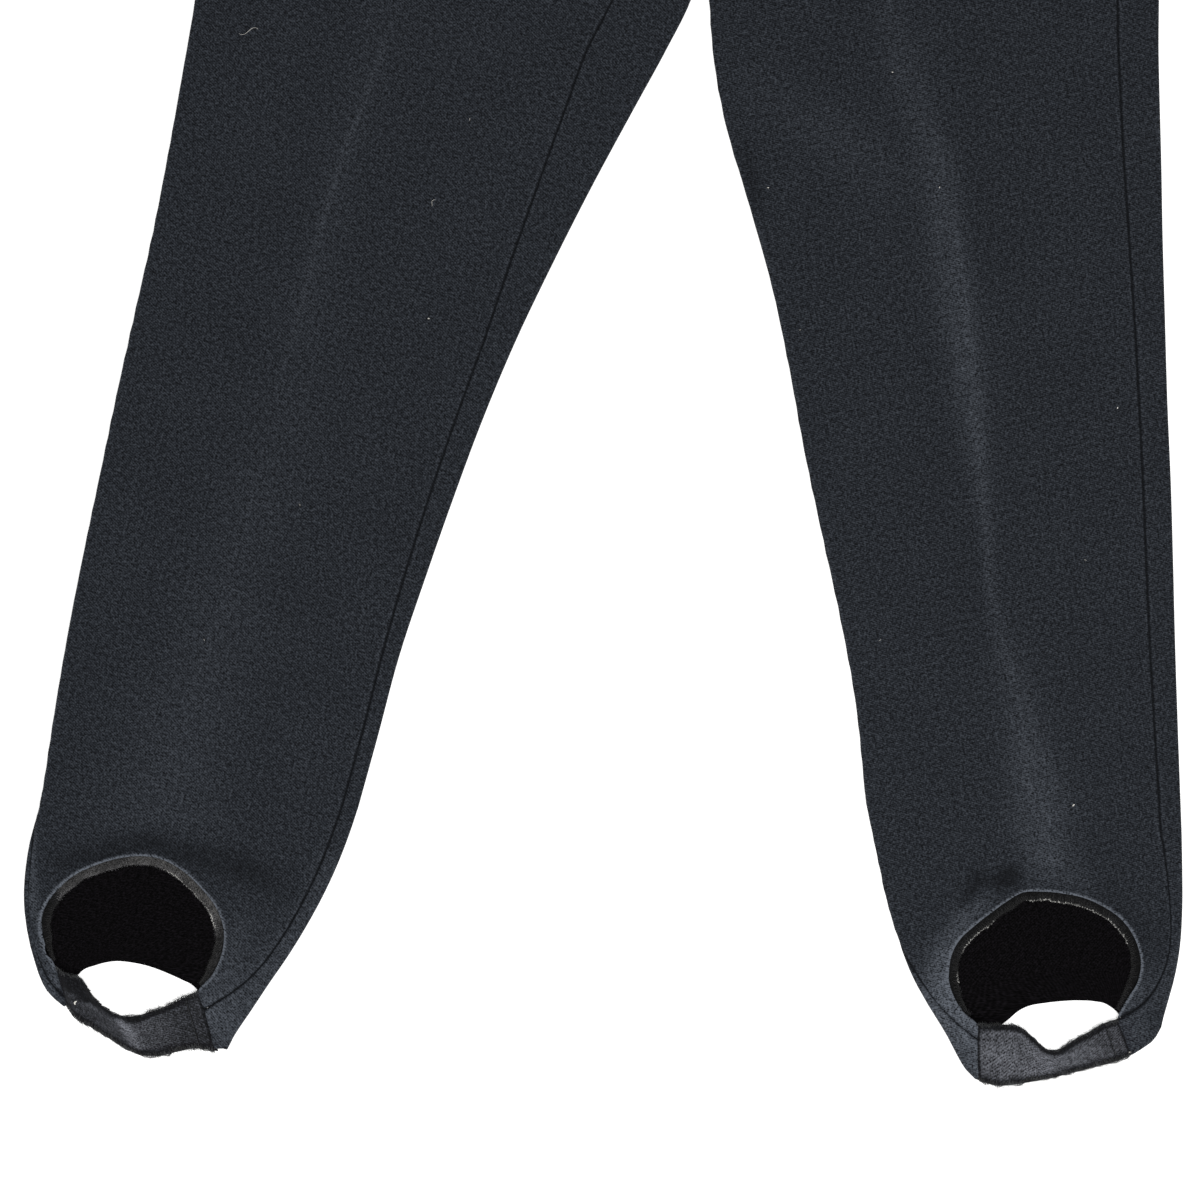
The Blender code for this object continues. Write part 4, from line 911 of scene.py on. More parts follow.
def declare(piece, node, flat, area):
    """Hangs a cloth piece on the root and hides the part that it stands for; the size that it was cut
    to is worked out here but goes nowhere.
    """
    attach(piece, "root")
    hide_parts(node)
    sides = flat.reshape(-1, 2).max(axis=0) - flat.reshape(-1, 2).min(axis=0)
    size = [max(float(side), NARROWEST_CUT) * MM for side in sides]
    area = min(area, 0.999 * size[0] * size[1])


def panel_grid(leg, part, rows):
    """A panel's middle points, its flat map and the values that its cloth reads."""
    girths = leg.front_girths if part == "front" else leg.back_girths
    grid, flat, seam, rim, crease, faded = [], [], [], [], [], []
    arch = leg.hem_rim("arch", np.linspace(*leg.hem["arch_span"], 160))
    for row in rows:
        places = girths(row)
        middle = leg.point(row, places)
        grid.append(middle)
        flat.append(leg.flat_place(row, places))
        seam.append(np.minimum(abs(places - places[0]), abs(places - places[-1])))
        near = nearest_on(arch, middle[:, :2])[0] if "t" in row else np.full(len(places), 99.0)
        rim.append(near if part == "front" else np.full(len(places), 99.0))
        crease.append(middle[:, 0] - leg.crease_line(middle[:, 1]))
        on_top = middle[:, 2] > LOW + FOLD
        faded.append(np.where(on_top, wear_light_and_shade_at(leg.side, middle[:, :2]), 0.12))
    found = [np.array(values) for values in (grid, flat, seam, rim, crease, faded)]
    if leg.side == "right":
        found = [values[:, ::-1] for values in found]
    return found


def dress(middle, seam, rim):
    """Turns the cloth down at its seams and arch, with the print of the seam allowances beside them."""
    normal = normals_of(middle)
    run = line_runs(middle, 0)[0]
    pucker = (1 + 0.45 * np.sin(2 * math.pi * run / PUCKER)
              + 0.3 * np.sin(2 * math.pi * run / (PUCKER * 0.37)))
    dip = SEAM_DIP * pucker * np.exp(-((seam / SEAM_REACH) ** 2))
    rise = ALLOWANCE_RISE * (1 - ease((abs(seam - ALLOWANCE / 2) - ALLOWANCE / 2 + 1.2) / 1.6))
    roll = RIM_ROLL * (1 - ease(rim / RIM_REACH))
    return middle + normal * (rise - dip - roll)[..., None]


def turn_under(grid, flat, facts, turn):
    """Carries a grid's first and last columns past the seams there, behind what they are sewn to."""
    for end, way in ((0, grid[:, 0] - grid[:, 1]), (-1, grid[:, -1] - grid[:, -2])):
        way = way * [1, 1, 0]
        way /= np.linalg.norm(way, axis=1, keepdims=True)
        spot, spot_flat = grid[:, end], flat[:, end]
        for reach, drop in turn:
            beyond = (spot + reach * way - [0, 0, drop])[:, None]
            further = (spot_flat + [reach if end else -reach, 0])[:, None]
            grid = np.concatenate([grid, beyond] if end else [beyond, grid], axis=1)
            flat = np.concatenate([flat, further] if end else [further, flat], axis=1)
            for name, values in facts.items():
                same = values[:, [end]]
                facts[name] = np.concatenate([values, same] if end else [same, values], axis=1)
    return grid, flat, facts


def make_panel(leg, part, rows, cloths):
    grid, flat, seam, rim, crease, faded = panel_grid(leg, part, rows)
    facts = {"seam": seam, "rim": rim, "crease": crease, "faded": faded}
    grid, flat, facts = turn_under(dress(grid, seam, rim), flat, facts, SEAM_TURN)
    middle = to_world(grid)
    # The layers lie on each other and on the surface, so nothing goes below it.
    middle[..., 2] = np.maximum(middle[..., 2], LOW)
    piece = shell(f"{part}_{leg.side}_cloth", middle, CLOTH, flat, facts, cloths["right_side"],
                  cloths["wrong_side"])
    resting = "floor" if part == "back" else f"back_{leg.side}_cloth"
    return {"piece": piece, "node": f"{part}_{leg.side}", "flat": flat, "area": area_of(middle),
            "rests": resting}


def facing_grid(leg):
    """The band inside an arch: its upper strip is under the front, and its overlocked edge shows."""
    low, high = leg.hem["arch_span"]
    shares = np.linspace(low + FACING_INSET, high - FACING_INSET, FACING_FINE)
    rim = leg.hem_rim("arch", shares)
    way = np.gradient(rim, axis=0)
    way /= np.linalg.norm(way, axis=1, keepdims=True)
    into_hole = np.column_stack([-way[:, 1], way[:, 0]]) * leg.sign
    taper = ease((shares - low) / FACING_TAPER) * ease((high - shares) / FACING_TAPER)
    run = along(rim) * np.linalg.norm(np.diff(rim, axis=0), axis=1).sum()
    waver = np.array([noise.noise((r / 9, 2.2, leg.sign)) for r in run])
    rows, flat = [], []
    for place in FACING_PLACES:
        shown = max(place, 0) / FACING_SHOWS
        reach = place * (0.35 + 0.65 * taper) + 0.9 * waver * shown
        level = FACING_LEVEL - FACING_DROP * shown + 0.3 * waver * shown * (1 - shown)
        rows.append(np.column_stack([rim + reach[:, None] * into_hole, level + np.zeros(len(rim))]))
        flat.append(np.column_stack([run, np.full(len(run), place)]))
    grid, flat = np.array(rows), np.array(flat)
    if leg.side == "right":
        grid, flat = grid[:, ::-1], flat[:, ::-1]
    return grid, flat


def make_facing(leg, cloths):
    grid, flat = facing_grid(leg)
    middle = to_world(grid)
    if middle[0, 0, 0] > middle[0, -1, 0]:
        way_round = 1 - along(middle[0])
    else:
        way_round = along(middle[0])
    tone_shift = np.interp(way_round, *np.array(FACING_WEAR[leg.side], float).T)
    facts = {"edge": FACING_SHOWS - flat[..., 1], "faded": np.tile(tone_shift, (len(middle), 1))}
    piece = shell(f"instep_facing_{leg.side}_cloth", middle, FACING_WALL, flat, facts,
                  cloths["facing"], cloths["facing"])
    free, behind = middle[-1], middle[-4]
    return {"piece": piece, "node": f"instep_facing_{leg.side}", "flat": flat, "area": area_of(middle),
            "rests": f"back_{leg.side}_cloth",
            "edge": (free + [0, 0, FACING_WALL / 2], behind - free, way_round)}


def strap_grid(leg):
    """A strap from tab to tab, down on the surface between them, with its toe edge rolled under."""
    sizes = STRAPS[leg.side]
    shares = np.linspace(0, 1, STRAP_FINE)
    edges = []
    for k, name in enumerate(("toe", "heel")):
        line = np.array([leg.tab_end("outer")[k], *sizes[name], leg.tab_end("inner")[k]])
        edges.append(path_read(shares, along(line), line))
    toe, heel = edges
    wide = np.linalg.norm(heel - toe, axis=1)
    out0, out1, in0, in1 = sizes["drop"]
    held = np.maximum(1 - ease((shares - out0) / (out1 - out0)), ease((shares - in0) / (in1 - in0)))
    level = STRAP_WALL / 2 + (HIGH - STRAP_WALL / 2) * held
    fifths = np.linspace(0, 1, 5)
    ends = ease(np.minimum(shares, 1 - shares) / 0.1)
    crest = np.interp(shares, fifths, STRAP_CREST[leg.side])
    curl = np.interp(shares, fifths, STRAP_CURL[leg.side]) * ends
    across = np.concatenate([EDGE_PLACES, np.linspace(0.06, 0.94, STRAP_ACROSS),
                             1 - np.array(EDGE_PLACES)[::-1]])
    rows, rolled = [], []
    for v in across:
        gap = v * wide
        hump = np.where(gap < crest, ease(gap / crest) ** 0.8, np.exp(-(((gap - crest) / 9) ** 2)))
        uneven = np.array([noise.noise((s * 9, v * 2.2, 4 + leg.sign)) for s in shares])
        lift = curl * hump + 0.5 * ends * np.maximum(uneven, 0) * math.sin(math.pi * v)
        rows.append(np.column_stack([toe + (heel - toe) * v, level + lift]))
        rolled.append(ease(1.25 - gap / crest))
    grid = np.array(rows)
    run, over = np.meshgrid(shares * np.linalg.norm(np.diff((toe + heel) / 2, axis=0), axis=1).sum(),
                            across)
    plan = grid[..., :2].reshape(-1, 2)
    # The strap is lightened for wear and painted light, and its rolled toe edge darkened as painted
    # shade.
    tone_shift = STRAP_WEAR_AND_LIGHT[leg.side] + wear_light_and_shade_at("strap_" + leg.side, plan).reshape(run.shape)
    facts = {"toe": over * wide, "heel": (1 - over) * wide, "end": np.minimum(run, run.max() - run),
             "stitch": run if STITCHED_END[leg.side] == "outer" else run.max() - run,
             "faded": tone_shift - ROLL_SHADE * np.array(rolled)}
    flat = np.stack([run, over * wide.mean()], axis=2)
    # The seam allowances at both ends turn down and go under the tabs.
    return turn_under(grid, flat, facts, TAB_TURN)


def make_strap(leg, cloths):
    grid, flat, facts = strap_grid(leg)
    if leg.side == "right":
        grid, flat = grid[:, ::-1], flat[:, ::-1]
        facts = {name: values[:, ::-1] for name, values in facts.items()}
    middle = to_world(grid)
    outer = middle + normals_of(middle) * [STRAP_WALL / 2]
    sewn = slice(len(TAB_TURN), -len(TAB_TURN))
    edges = {}
    for name, at, back in (("heel", -1, -9), ("toe", 0, 8)):
        inwards = (outer[back] - outer[at])[sewn]
        inwards /= np.linalg.norm(inwards, axis=1, keepdims=True)
        # The cut edge is ragged, so the loops stand out from it unevenly.
        ragged = np.array([noise.noise(Vector(spot) / 4.5) for spot in outer[at][sewn]])
        line = (outer[at] * 0.65 + middle[at] * 0.35)[sewn] - inwards * (0.5 + RAGGED * ragged)[:, None]
        line[:, 2] = np.maximum(line[:, 2], 0.4)
        edges[name] = (line, inwards)
    piece = shell(f"stirrup_{leg.side}_cloth", middle, STRAP_WALL, flat, facts, cloths["strap"],
                  cloths["strap"])
    return {"piece": piece, "node": f"stirrup_{leg.side}", "flat": flat, "area": area_of(middle),
            "rests": "floor", "edges": edges}


def waistband_path():
    """The band's middle line in plan and height, from the upper end round the back to the lower one."""
    low, high = BAND_WALL / 2, BAND_WALL / 2 + 2 * FOLD
    reach_out = FOLD + BAND_WALL / 2
    centre = table_read(BODY, BODY_COLUMNS, "centre", WAIST_SEAM)
    left = table_read(BODY, BODY_COLUMNS, "outer_left", WAIST_SEAM) - reach_out
    right = table_read(BODY, BODY_COLUMNS, "outer_right", WAIST_SEAM) + reach_out
    lap = high + BAND_WALL + SEAM
    start, under_end = centre + BAND_LAP_LEFT, centre - BAND_LAP_RIGHT
    level = np.column_stack([np.linspace(start, under_end, 30), np.full(30, lap)])
    share = np.linspace(0, 1, 30)[1:]
    step = np.column_stack([under_end - BAND_LAP_RISE * share - BAND_WALL,
                            lap + (high - lap) * ease(share)])
    over = np.linspace(step[-1, 0], right, 130)[1:]
    turn = np.linspace(0, math.pi, 21)[1:]
    first_turn = np.column_stack([right - FOLD * np.sin(turn), low + FOLD + FOLD * np.cos(turn)])
    back = np.linspace(right, left, 240)[1:]
    last_turn = np.column_stack([left + FOLD * np.sin(turn), low + FOLD - FOLD * np.cos(turn)])
    end = np.linspace(left, under_end, 130)[1:]
    stretches = [level, step, np.column_stack([over, np.full(len(over), high)]), first_turn,
                 np.column_stack([back, np.full(len(back), low)]), last_turn,
                 np.column_stack([end, np.full(len(end), high)])]
    return np.concatenate(stretches)


def make_waistband(cloths):
    path = waistband_path()
    centre = table_read(BODY, BODY_COLUMNS, "centre", WAIST_SEAM)
    run = along(path) * np.linalg.norm(np.diff(path, axis=0), axis=1).sum()
    ups = np.concatenate([EDGE_PLACES, np.linspace(0.06, 0.94, BAND_ROWS),
                          1 - np.array(EDGE_PLACES)[::-1]])
    waver = np.array([noise.noise((r / 38, 9.1, 0)) for r in run])
    on_top = ease((path[:, 1] - LOW - FOLD) / FOLD)
    rows, flat = [], []
    for share in ups:
        y = WAIST_SEAM + (WAISTBAND_TOP - WAIST_SEAM) * share
        narrower = 1 - BAND_NARROWS * share
        puffed = 0.28 * on_top * math.sin(math.pi * share) * (1 + waver)
        x = centre + (path[:, 0] - centre) * narrower
        rows.append(np.column_stack([x, np.full(len(x), y), path[:, 1] + puffed]))
        flat.append(np.column_stack([run, np.full(len(run), y)]))
    middle, flat = to_world(np.array(rows))[:, ::-1], np.array(flat)[:, ::-1]
    across = flat[..., 1] - WAIST_SEAM
    facts = {"seam": across, "rim": np.full(across.shape, 99.0), "crease": np.full(across.shape, 99.0),
             "faded": 0.1 + 0 * across}
    piece = shell("waistband_cloth", middle, BAND_WALL, flat, facts, cloths["right_side"],
                  cloths["wrong_side"])
    normal = normals_of(middle)
    outside = middle + normal * BAND_WALL / 2
    stitched = {name: (outside[k], normal[k]) for name, k in (("upper", -8), ("lower", 7))}
    return {"piece": piece, "node": "waistband", "flat": flat, "area": area_of(middle),
            "rests": "floor", "stitched": stitched}


MATH, MIX, NOISE, RANGE = "ShaderNodeMath", "ShaderNodeMix", "ShaderNodeTexNoise", "ShaderNodeMapRange"


def linear(hex_colour):
    """An sRGB hex value as the linear colour that a shader takes."""
    parts = [int(hex_colour[k:k + 2], 16) / 255 for k in (0, 2, 4)]
    return (*(c / 12.92 if c < 0.04045 else ((c + 0.055) / 1.055) ** 2.4 for c in parts), 1.0)


def add_node(tree, kind, inputs=None, output=0, **settings):
    """Adds a node with its settings and what goes into its sockets, and gives one of its outputs."""
    node = tree.nodes.new(kind)
    for name, value in settings.items():
        setattr(node, name, value)
    for key, value in (inputs or {}).items():
        if isinstance(value, bpy.types.NodeSocket):
            tree.links.new(value, node.inputs[key])
        else:
            node.inputs[key].default_value = value
    return node.outputs[output] if len(node.outputs) else None


def new_material(name):
    made = bpy.data.materials.new(name)
    made.use_nodes = True
    made.node_tree.nodes.clear()
    return made, made.node_tree


def worn_by(tree, wear_and_light_tone, wear):
    """Adds smooth bands of fading, each with a named value, its middle, half width and strength."""
    for fact, middle, half, strength in wear:
        value = add_node(tree, "ShaderNodeAttribute", {}, 2, attribute_name=fact)
        share = add_node(tree, MATH, {0: value, 1: 1 / half, 2: -middle / half},
                         operation="MULTIPLY_ADD")
        square = add_node(tree, MATH, {0: share, 1: share}, operation="MULTIPLY")
        band = add_node(tree, MATH, {0: math.exp(-1), 1: square}, operation="POWER")
        wear_and_light_tone = add_node(tree, MATH, {0: band, 1: strength, 2: wear_and_light_tone}, operation="MULTIPLY_ADD")
    return wear_and_light_tone


def twill(name, colours, wear=(), patchy=0.5, **changes):
    """Twill as it comes off the loom: slanting ribs, yarns dyed unevenly, a little nap.

    Colours are the shadows between yarns, the yarns, their lightest fibres and faded cloth; the faded
    colour also paints highlights and sheen, and the shadows' colour paints stains and painted shade.
    """
    finish = {**TWILL_FINISH, **changes}
    made, tree = new_material(name)
    flat = add_node(tree, "ShaderNodeUVMap", uv_map="cloth_mm")
    deep, yarn, bright, pale = (linear(colour) for colour in colours)
    slanted = add_node(tree, "ShaderNodeMapping", {0: flat, 2: (0, 0, TWILL_ANGLE)})
    ribs = add_node(tree, "ShaderNodeTexWave", {0: slanted, "Scale": math.pi / 10 / RIB,
                                                "Distortion": 1.6,
                                                "Detail": 1.0, "Detail Scale": 2.0}, 1)
    fine = add_node(tree, NOISE, {0: flat, "Scale": 1 / finish["yarn"], "Detail": 1.5,
                                  "Roughness": 0.65})
    coarse = add_node(tree, NOISE, {0: flat, "Scale": 1 / 2.8, "Detail": 2.0, "Roughness": 0.6})
    patch = add_node(tree, NOISE, {0: flat, "Scale": 1 / 55, "Detail": 3.0, "Roughness": 0.55})
    mottle = add_node(tree, NOISE, {0: flat, "Scale": 1 / 9, "Detail": 3.0, "Roughness": 0.6})
    # Grain is the melange of single yarns, and the ribs only just show in it.
    grain = add_node(tree, MIX, {0: 0.34, 2: fine, 3: coarse})
    grain = add_node(tree, MATH, {0: ribs, 1: 0.08, 2: grain}, operation="MULTIPLY_ADD")
    low = add_node(tree, RANGE, {0: grain, 1: 0.4, 2: 0.54})
    high = add_node(tree, RANGE, {0: grain, 1: 0.54, 2: 0.7})
    colour = add_node(tree, MIX, {0: low, 6: deep, 7: yarn}, 2, data_type="RGBA")
    colour = add_node(tree, MIX, {0: high, 6: colour, 7: bright}, 2, data_type="RGBA")
    # Fading and painted light are patchy and mottled, and the standing fibres catch most of it; below 0
    # the colour goes to the deepest, for stains and painted shade.
    uneven = add_node(tree, RANGE, {0: mottle, 1: 0.3, 2: 0.7, 3: 0.55, 4: 1.45})
    faded = add_node(tree, "ShaderNodeAttribute", {}, 2, attribute_name="faded")
    faded = add_node(tree, MATH, {0: faded, 1: uneven}, operation="MULTIPLY")
    patches = add_node(tree, MATH, {0: patch, 1: 0.5}, operation="SUBTRACT")
    wear_and_light_tone = add_node(tree, MATH, {0: patches, 1: patchy, 2: faded}, operation="MULTIPLY_ADD")
    wear_and_light_tone = worn_by(tree, wear_and_light_tone, wear)
    catch = add_node(tree, RANGE, {0: grain, 1: 0.4, 2: 0.68, 3: finish["catch"][0],
                                   4: finish["catch"][1]})
    up = add_node(tree, MATH, {0: wear_and_light_tone, 1: catch}, operation="MULTIPLY")
    up = add_node(tree, RANGE, {0: up, 1: 0.0, 2: 6.0, 3: 0.0, 4: 6 * finish["fade"]})
    down = add_node(tree, RANGE, {0: wear_and_light_tone, 1: 0.0, 2: -0.9, 3: 0.0, 4: 0.72})
    colour = add_node(tree, MIX, {0: up, 6: colour, 7: pale}, 2, data_type="RGBA")
    colour = add_node(tree, MIX, {0: down, 6: colour, 7: deep}, 2, data_type="RGBA")
    height = add_node(tree, MIX, {0: 0.64, 2: ribs, 3: fine})
    relief = add_node(tree, "ShaderNodeBump",
                      {"Height": height, "Distance": finish["relief"] * MM, "Strength": 1.0})
    rough = add_node(tree, MATH, {0: coarse, 1: 0.16, 2: finish["roughness"] - 0.08},
                     operation="MULTIPLY_ADD")
    shader = add_node(tree, "ShaderNodeBsdfPrincipled", {
        "Base Color": colour, "Roughness": rough, "Normal": relief,
        "Specular IOR Level": finish["specular"],
        "Sheen Weight": finish["sheen"], "Sheen Roughness": 0.5})
    add_node(tree, "ShaderNodeOutputMaterial", {0: shader})
    return made


def make_cloths():
    return {
        # Black polyester and viscose stretch twill, woven and piece dyed: matt, with a fine melange of
        # grey fibres. Its pressed creases and rolled edges have worn to a speckled blue grey.
        "right_side": twill("stretch_twill_woven_right_side", ("050609", "1c1f24", "373b41", "5c6169"),
                            (("rim", 0.6, 0.85, 6.0), ("crease", 0.0, 1.5, 0.1),
                             ("seam", 1.6, 1.1, 0.3),
                             ("seam", 0.0, 0.7, -2.6))),
        # The same twill's back: a warmer black with flatter ribs, painted darker still as shade inside
        # the legs, where the thin shells let in more light than real cloth.
        "wrong_side": twill("stretch_twill_wrong_side_painted_darker_as_shade", ("020202", "080708", "131114", "1a181c"),
                            patchy=0.1, fade=0.05, sheen=0.0, specular=0.02, roughness=0.92),
        # Twill brushed by wear under the foot: grey fibres stand out of it, and its edges are black
        # with thread. Its colours are also lighter than the legs' twill, as painted light where the
        # straps tilt to the light.
        "strap": twill("stretch_twill_brushed_by_wear_painted_lighter", ("060608", "202124", "42444a", "71737a"),
                       (("toe", 0.0, 2.3, -3.4), ("heel", 0.0, 3.2, -3.4),
                        ("stitch", STRAP_STITCH_IN, 0.45, -1.8),
                        ("end", 0.0, 0.7, -2.4)), yarn=1.05, fade=0.2, relief=0.4, sheen=0.03,
                        catch=(0.0, 2.0)),
        # The facing's wrong side: a strip of black twill gone grey and fluffy where its edge has
        # rubbed.
        "facing": twill("facing_twill_wrong_side", ("040404", "141415", "2e2e30", "5b5a59"),
                        (("edge", 0.0, 1.6, 0.3),), yarn=0.9, fade=0.3, sheen=0.02, catch=(0.0, 2.0)),
    }


def spun_thread(name, dark, light, roughness=0.8):
    """Spun polyester sewing thread: two plies twisted together, a little fluffy and unevenly soiled."""
    made, tree = new_material(name)
    where = add_node(tree, "ShaderNodeTexCoord", {}, 3)
    # Each thread is 0.2 to 0.4 mm thick, so its ply is drawn as light and dark spots 0.7 mm long.
    ply = add_node(tree, NOISE, {0: where, "Scale": 1 / (0.7 * MM), "Detail": 1.0})
    soiled = add_node(tree, NOISE, {0: where, "Scale": 1 / (7 * MM), "Detail": 2.0})
    both = add_node(tree, MIX, {0: 0.45, 2: ply, 3: soiled})
    lay = add_node(tree, RANGE, {0: both, 1: 0.42, 2: 0.62})
    colour = add_node(tree, MIX, {0: lay, 6: linear(dark), 7: linear(light)}, 2, data_type="RGBA")
    bump = add_node(tree, "ShaderNodeBump", {"Height": ply, "Distance": 0.08 * MM, "Strength": 0.7})
    shader = add_node(tree, "ShaderNodeBsdfPrincipled", {
        "Base Color": colour, "Normal": bump, "Roughness": roughness, "Specular IOR Level": 0.25,
        "Sheen Weight": 0.1})
    add_node(tree, "ShaderNodeOutputMaterial", {0: shader})
    return made


def cast_resin():
    """Polyester resin, cast and tumbled: a soft gloss with faint clouds and fine scratches."""
    made, tree = new_material("polyester_resin_cast_and_tumbled")
    where = add_node(tree, "ShaderNodeTexCoord", {}, 3)
    clouds = add_node(tree, NOISE, {0: where, "Scale": 1 / (5 * MM), "Detail": 3.0, "Distortion": 1.2})
    scratch = add_node(tree, NOISE, {0: where, "Scale": 1 / (0.5 * MM), "Detail": 2.0})
    colour = add_node(tree, MIX, {0: clouds, 6: linear("101114"), 7: linear("26272c")}, 2,
                      data_type="RGBA")
    rough = add_node(tree, MATH, {0: scratch, 1: 0.2, 2: 0.22}, operation="MULTIPLY_ADD")
    bump = add_node(tree, "ShaderNodeBump", {"Height": scratch, "Distance": 0.02 * MM, "Strength": 0.5})
    shader = add_node(tree, "ShaderNodeBsdfPrincipled", {
        "Base Color": colour, "Normal": bump, "Roughness": rough, "IOR": 1.54})
    add_node(tree, "ShaderNodeOutputMaterial", {0: shader})
    return made


def light_table():
    """Opal acrylic, cast, with a little light from below it: pure white with no hard shadow."""
    made, tree = new_material("acrylic_cast_opal")
    where = add_node(tree, "ShaderNodeTexCoord", {}, 3)
    tooth = add_node(tree, NOISE, {0: where, "Scale": 300.0})
    rough = add_node(tree, MATH, {0: tooth, 1: 0.1, 2: 0.85}, operation="MULTIPLY_ADD")
    shader = add_node(tree, "ShaderNodeBsdfPrincipled", {
        "Base Color": linear("fbfbfa"), "Roughness": rough, "Specular IOR Level": 0.1,
        "Emission Color": (1.0, 1.0, 1.0, 1.0), "Emission Strength": TABLE_GLOW})
    add_node(tree, "ShaderNodeOutputMaterial", {0: shader})
    return made


def stitch_tree():
    """A thread loop at every pitch along a line, each set by the line's across and up directions."""
    tree = bpy.data.node_groups.new("stitches_along_a_line", "GeometryNodeTree")
    tree.interface.new_socket(name="Geometry", in_out="INPUT", socket_type="NodeSocketGeometry")
    for name in STITCH_SIZES:
        tree.interface.new_socket(name=name, in_out="INPUT", socket_type="NodeSocketFloat")
    tree.interface.new_socket(name="Seed", in_out="INPUT", socket_type="NodeSocketInt")
    tree.interface.new_socket(name="Material", in_out="INPUT", socket_type="NodeSocketMaterial")
    tree.interface.new_socket(name="Geometry", in_out="OUTPUT", socket_type="NodeSocketGeometry")
    given = add_node(tree, "NodeGroupInput").node.outputs
    line = add_node(tree, "GeometryNodeMeshToCurve", {0: given["Geometry"]})
    line = add_node(tree, "GeometryNodeResampleCurve", {0: line, "Length": given["Pitch"]},
                    mode="LENGTH")
    half = add_node(tree, MATH, {0: given["Reach"], 1: 0.5}, operation="MULTIPLY")
    half_swing = add_node(tree, MATH, {0: given["Swing"], 1: 0.5}, operation="MULTIPLY")
    top = add_node(tree, "ShaderNodeCombineXYZ", {0: half, 1: half_swing, 2: given["Bulge"]})
    end = add_node(tree, "ShaderNodeCombineXYZ", {0: given["Reach"], 1: given["Swing"]})
    loop = add_node(tree, "GeometryNodeCurveQuadraticBezier",
                    {"Resolution": 4, "Start": (0, 0, 0), "Middle": top, "End": end})
    ply = add_node(tree, "GeometryNodeCurvePrimitiveCircle",
                   {"Resolution": 4, "Radius": given["Thread"]},
                   mode="RADIUS")
    stitch = add_node(tree, "GeometryNodeCurveToMesh",
                      {"Curve": loop, "Profile Curve": ply, "Fill Caps": True})
    ways = [add_node(tree, "GeometryNodeInputNamedAttribute", {"Name": name}, data_type="FLOAT_VECTOR")
            for name in ("up", "across")]
    set_by = add_node(tree, "FunctionNodeAxesToRotation", {0: ways[0], 1: ways[1]}, primary_axis="Z",
                      secondary_axis="X")
    below = add_node(tree, MATH, {0: given["Spread"], 1: -1.0}, operation="MULTIPLY")
    low = add_node(tree, "ShaderNodeCombineXYZ", dict.fromkeys(range(3), below))
    high = add_node(tree, "ShaderNodeCombineXYZ", dict.fromkeys(range(3), given["Spread"]))
    chance = add_node(tree, "FunctionNodeRandomValue", {0: low, 1: high, "Seed": given["Seed"]},
                      data_type="FLOAT_VECTOR")
    tilt = add_node(tree, "FunctionNodeEulerToRotation", {0: chance})
    turned = add_node(tree, "FunctionNodeRotateRotation", {0: set_by, 1: tilt}, rotation_space="LOCAL")
    size = add_node(tree, "FunctionNodeRandomValue", {0: (0.7, 0.8, 0.6), 1: (1.25, 1.15, 1.4),
                                                      "Seed": given["Seed"]}, data_type="FLOAT_VECTOR")
    row = add_node(tree, "GeometryNodeInstanceOnPoints",
                   {"Points": line, "Instance": stitch, "Rotation": turned, "Scale": size})
    real = add_node(tree, "GeometryNodeRealizeInstances", {0: row})
    smooth = add_node(tree, "GeometryNodeSetShadeSmooth", {0: real})
    dyed = add_node(tree, "GeometryNodeSetMaterial", {0: smooth, "Material": given["Material"]})
    add_node(tree, "NodeGroupOutput", {0: dyed})
    return tree


def sew(tree, name, path, across, up, spun, seed, **sizes):
    """Runs the stitch tree along a line of points in millimetres and keeps the result as a mesh."""
    mesh = bpy.data.meshes.new(name)
    mesh.from_pydata((np.asarray(path) * MM).tolist(), [(k, k + 1) for k in range(len(path) - 1)], [])
    for way, values in (("across", across), ("up", up)):
        values = np.broadcast_to(np.asarray(values, float), (len(path), 3))
        values = values / np.linalg.norm(values, axis=1, keepdims=True)
        mesh.attributes.new(way, "FLOAT_VECTOR", "POINT").data.foreach_set("vector", values.ravel())
    line = bpy.data.objects.new(name + "_line", mesh)
    bpy.context.collection.objects.link(line)
    modifier = line.modifiers.new("stitches", "NODES")
    modifier.node_group = tree
    given = {"Seed": seed, "Material": spun}
    for size in STITCH_SIZES:
        value = sizes.get(size.lower(), 0.0)
        given[size] = float(value) * (1 if size == "Spread" else MM)
    for socket in tree.interface.items_tree:
        if socket.in_out == "INPUT" and socket.name in given:
            modifier[socket.identifier] = given[socket.name]
    graph = bpy.context.evaluated_depsgraph_get()
    made = bpy.data.meshes.new_from_object(line.evaluated_get(graph))
    line.modifiers.remove(modifier)
    bpy.data.objects.remove(line, do_unlink=True)
    # Loose ends lie on the surface that the cloth lies on.
    places = np.empty(len(made.vertices) * 3)
    made.vertices.foreach_get("co", places)
    places[2::3] = np.maximum(places[2::3], 0)
    made.vertices.foreach_set("co", places)
    thing = bpy.data.objects.new(name, made)
    bpy.context.collection.objects.link(thing)
    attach(thing, "root")
    return thing


def overlock(tree, name, edge, inwards, up, spun, seed, **sizes):
    """Two leaning needle threads over a cut edge, and the loose fluff outside it."""
    pitch, reach, ply = sizes["pitch"], sizes["reach"], sizes["thread"]
    return [
        sew(tree, name + "_needle", edge, inwards, up, spun, seed, pitch=pitch, thread=ply, reach=reach,
            bulge=sizes["bulge"], swing=pitch * 0.8, spread=0.2),
        sew(tree, name + "_looper", edge, inwards, up, spun, seed + 1, pitch=pitch * 0.9,
            thread=ply * 0.9,
            reach=reach * 0.9, bulge=sizes["bulge"] * 1.2, swing=-pitch * 1.1, spread=0.26),
        sew(tree, name + "_fluff", edge, -np.asarray(inwards), up, spun, seed + 2, pitch=pitch * 0.8,
            thread=0.09, reach=sizes["fluff"], bulge=0.4, swing=0.9, spread=0.7),
    ]


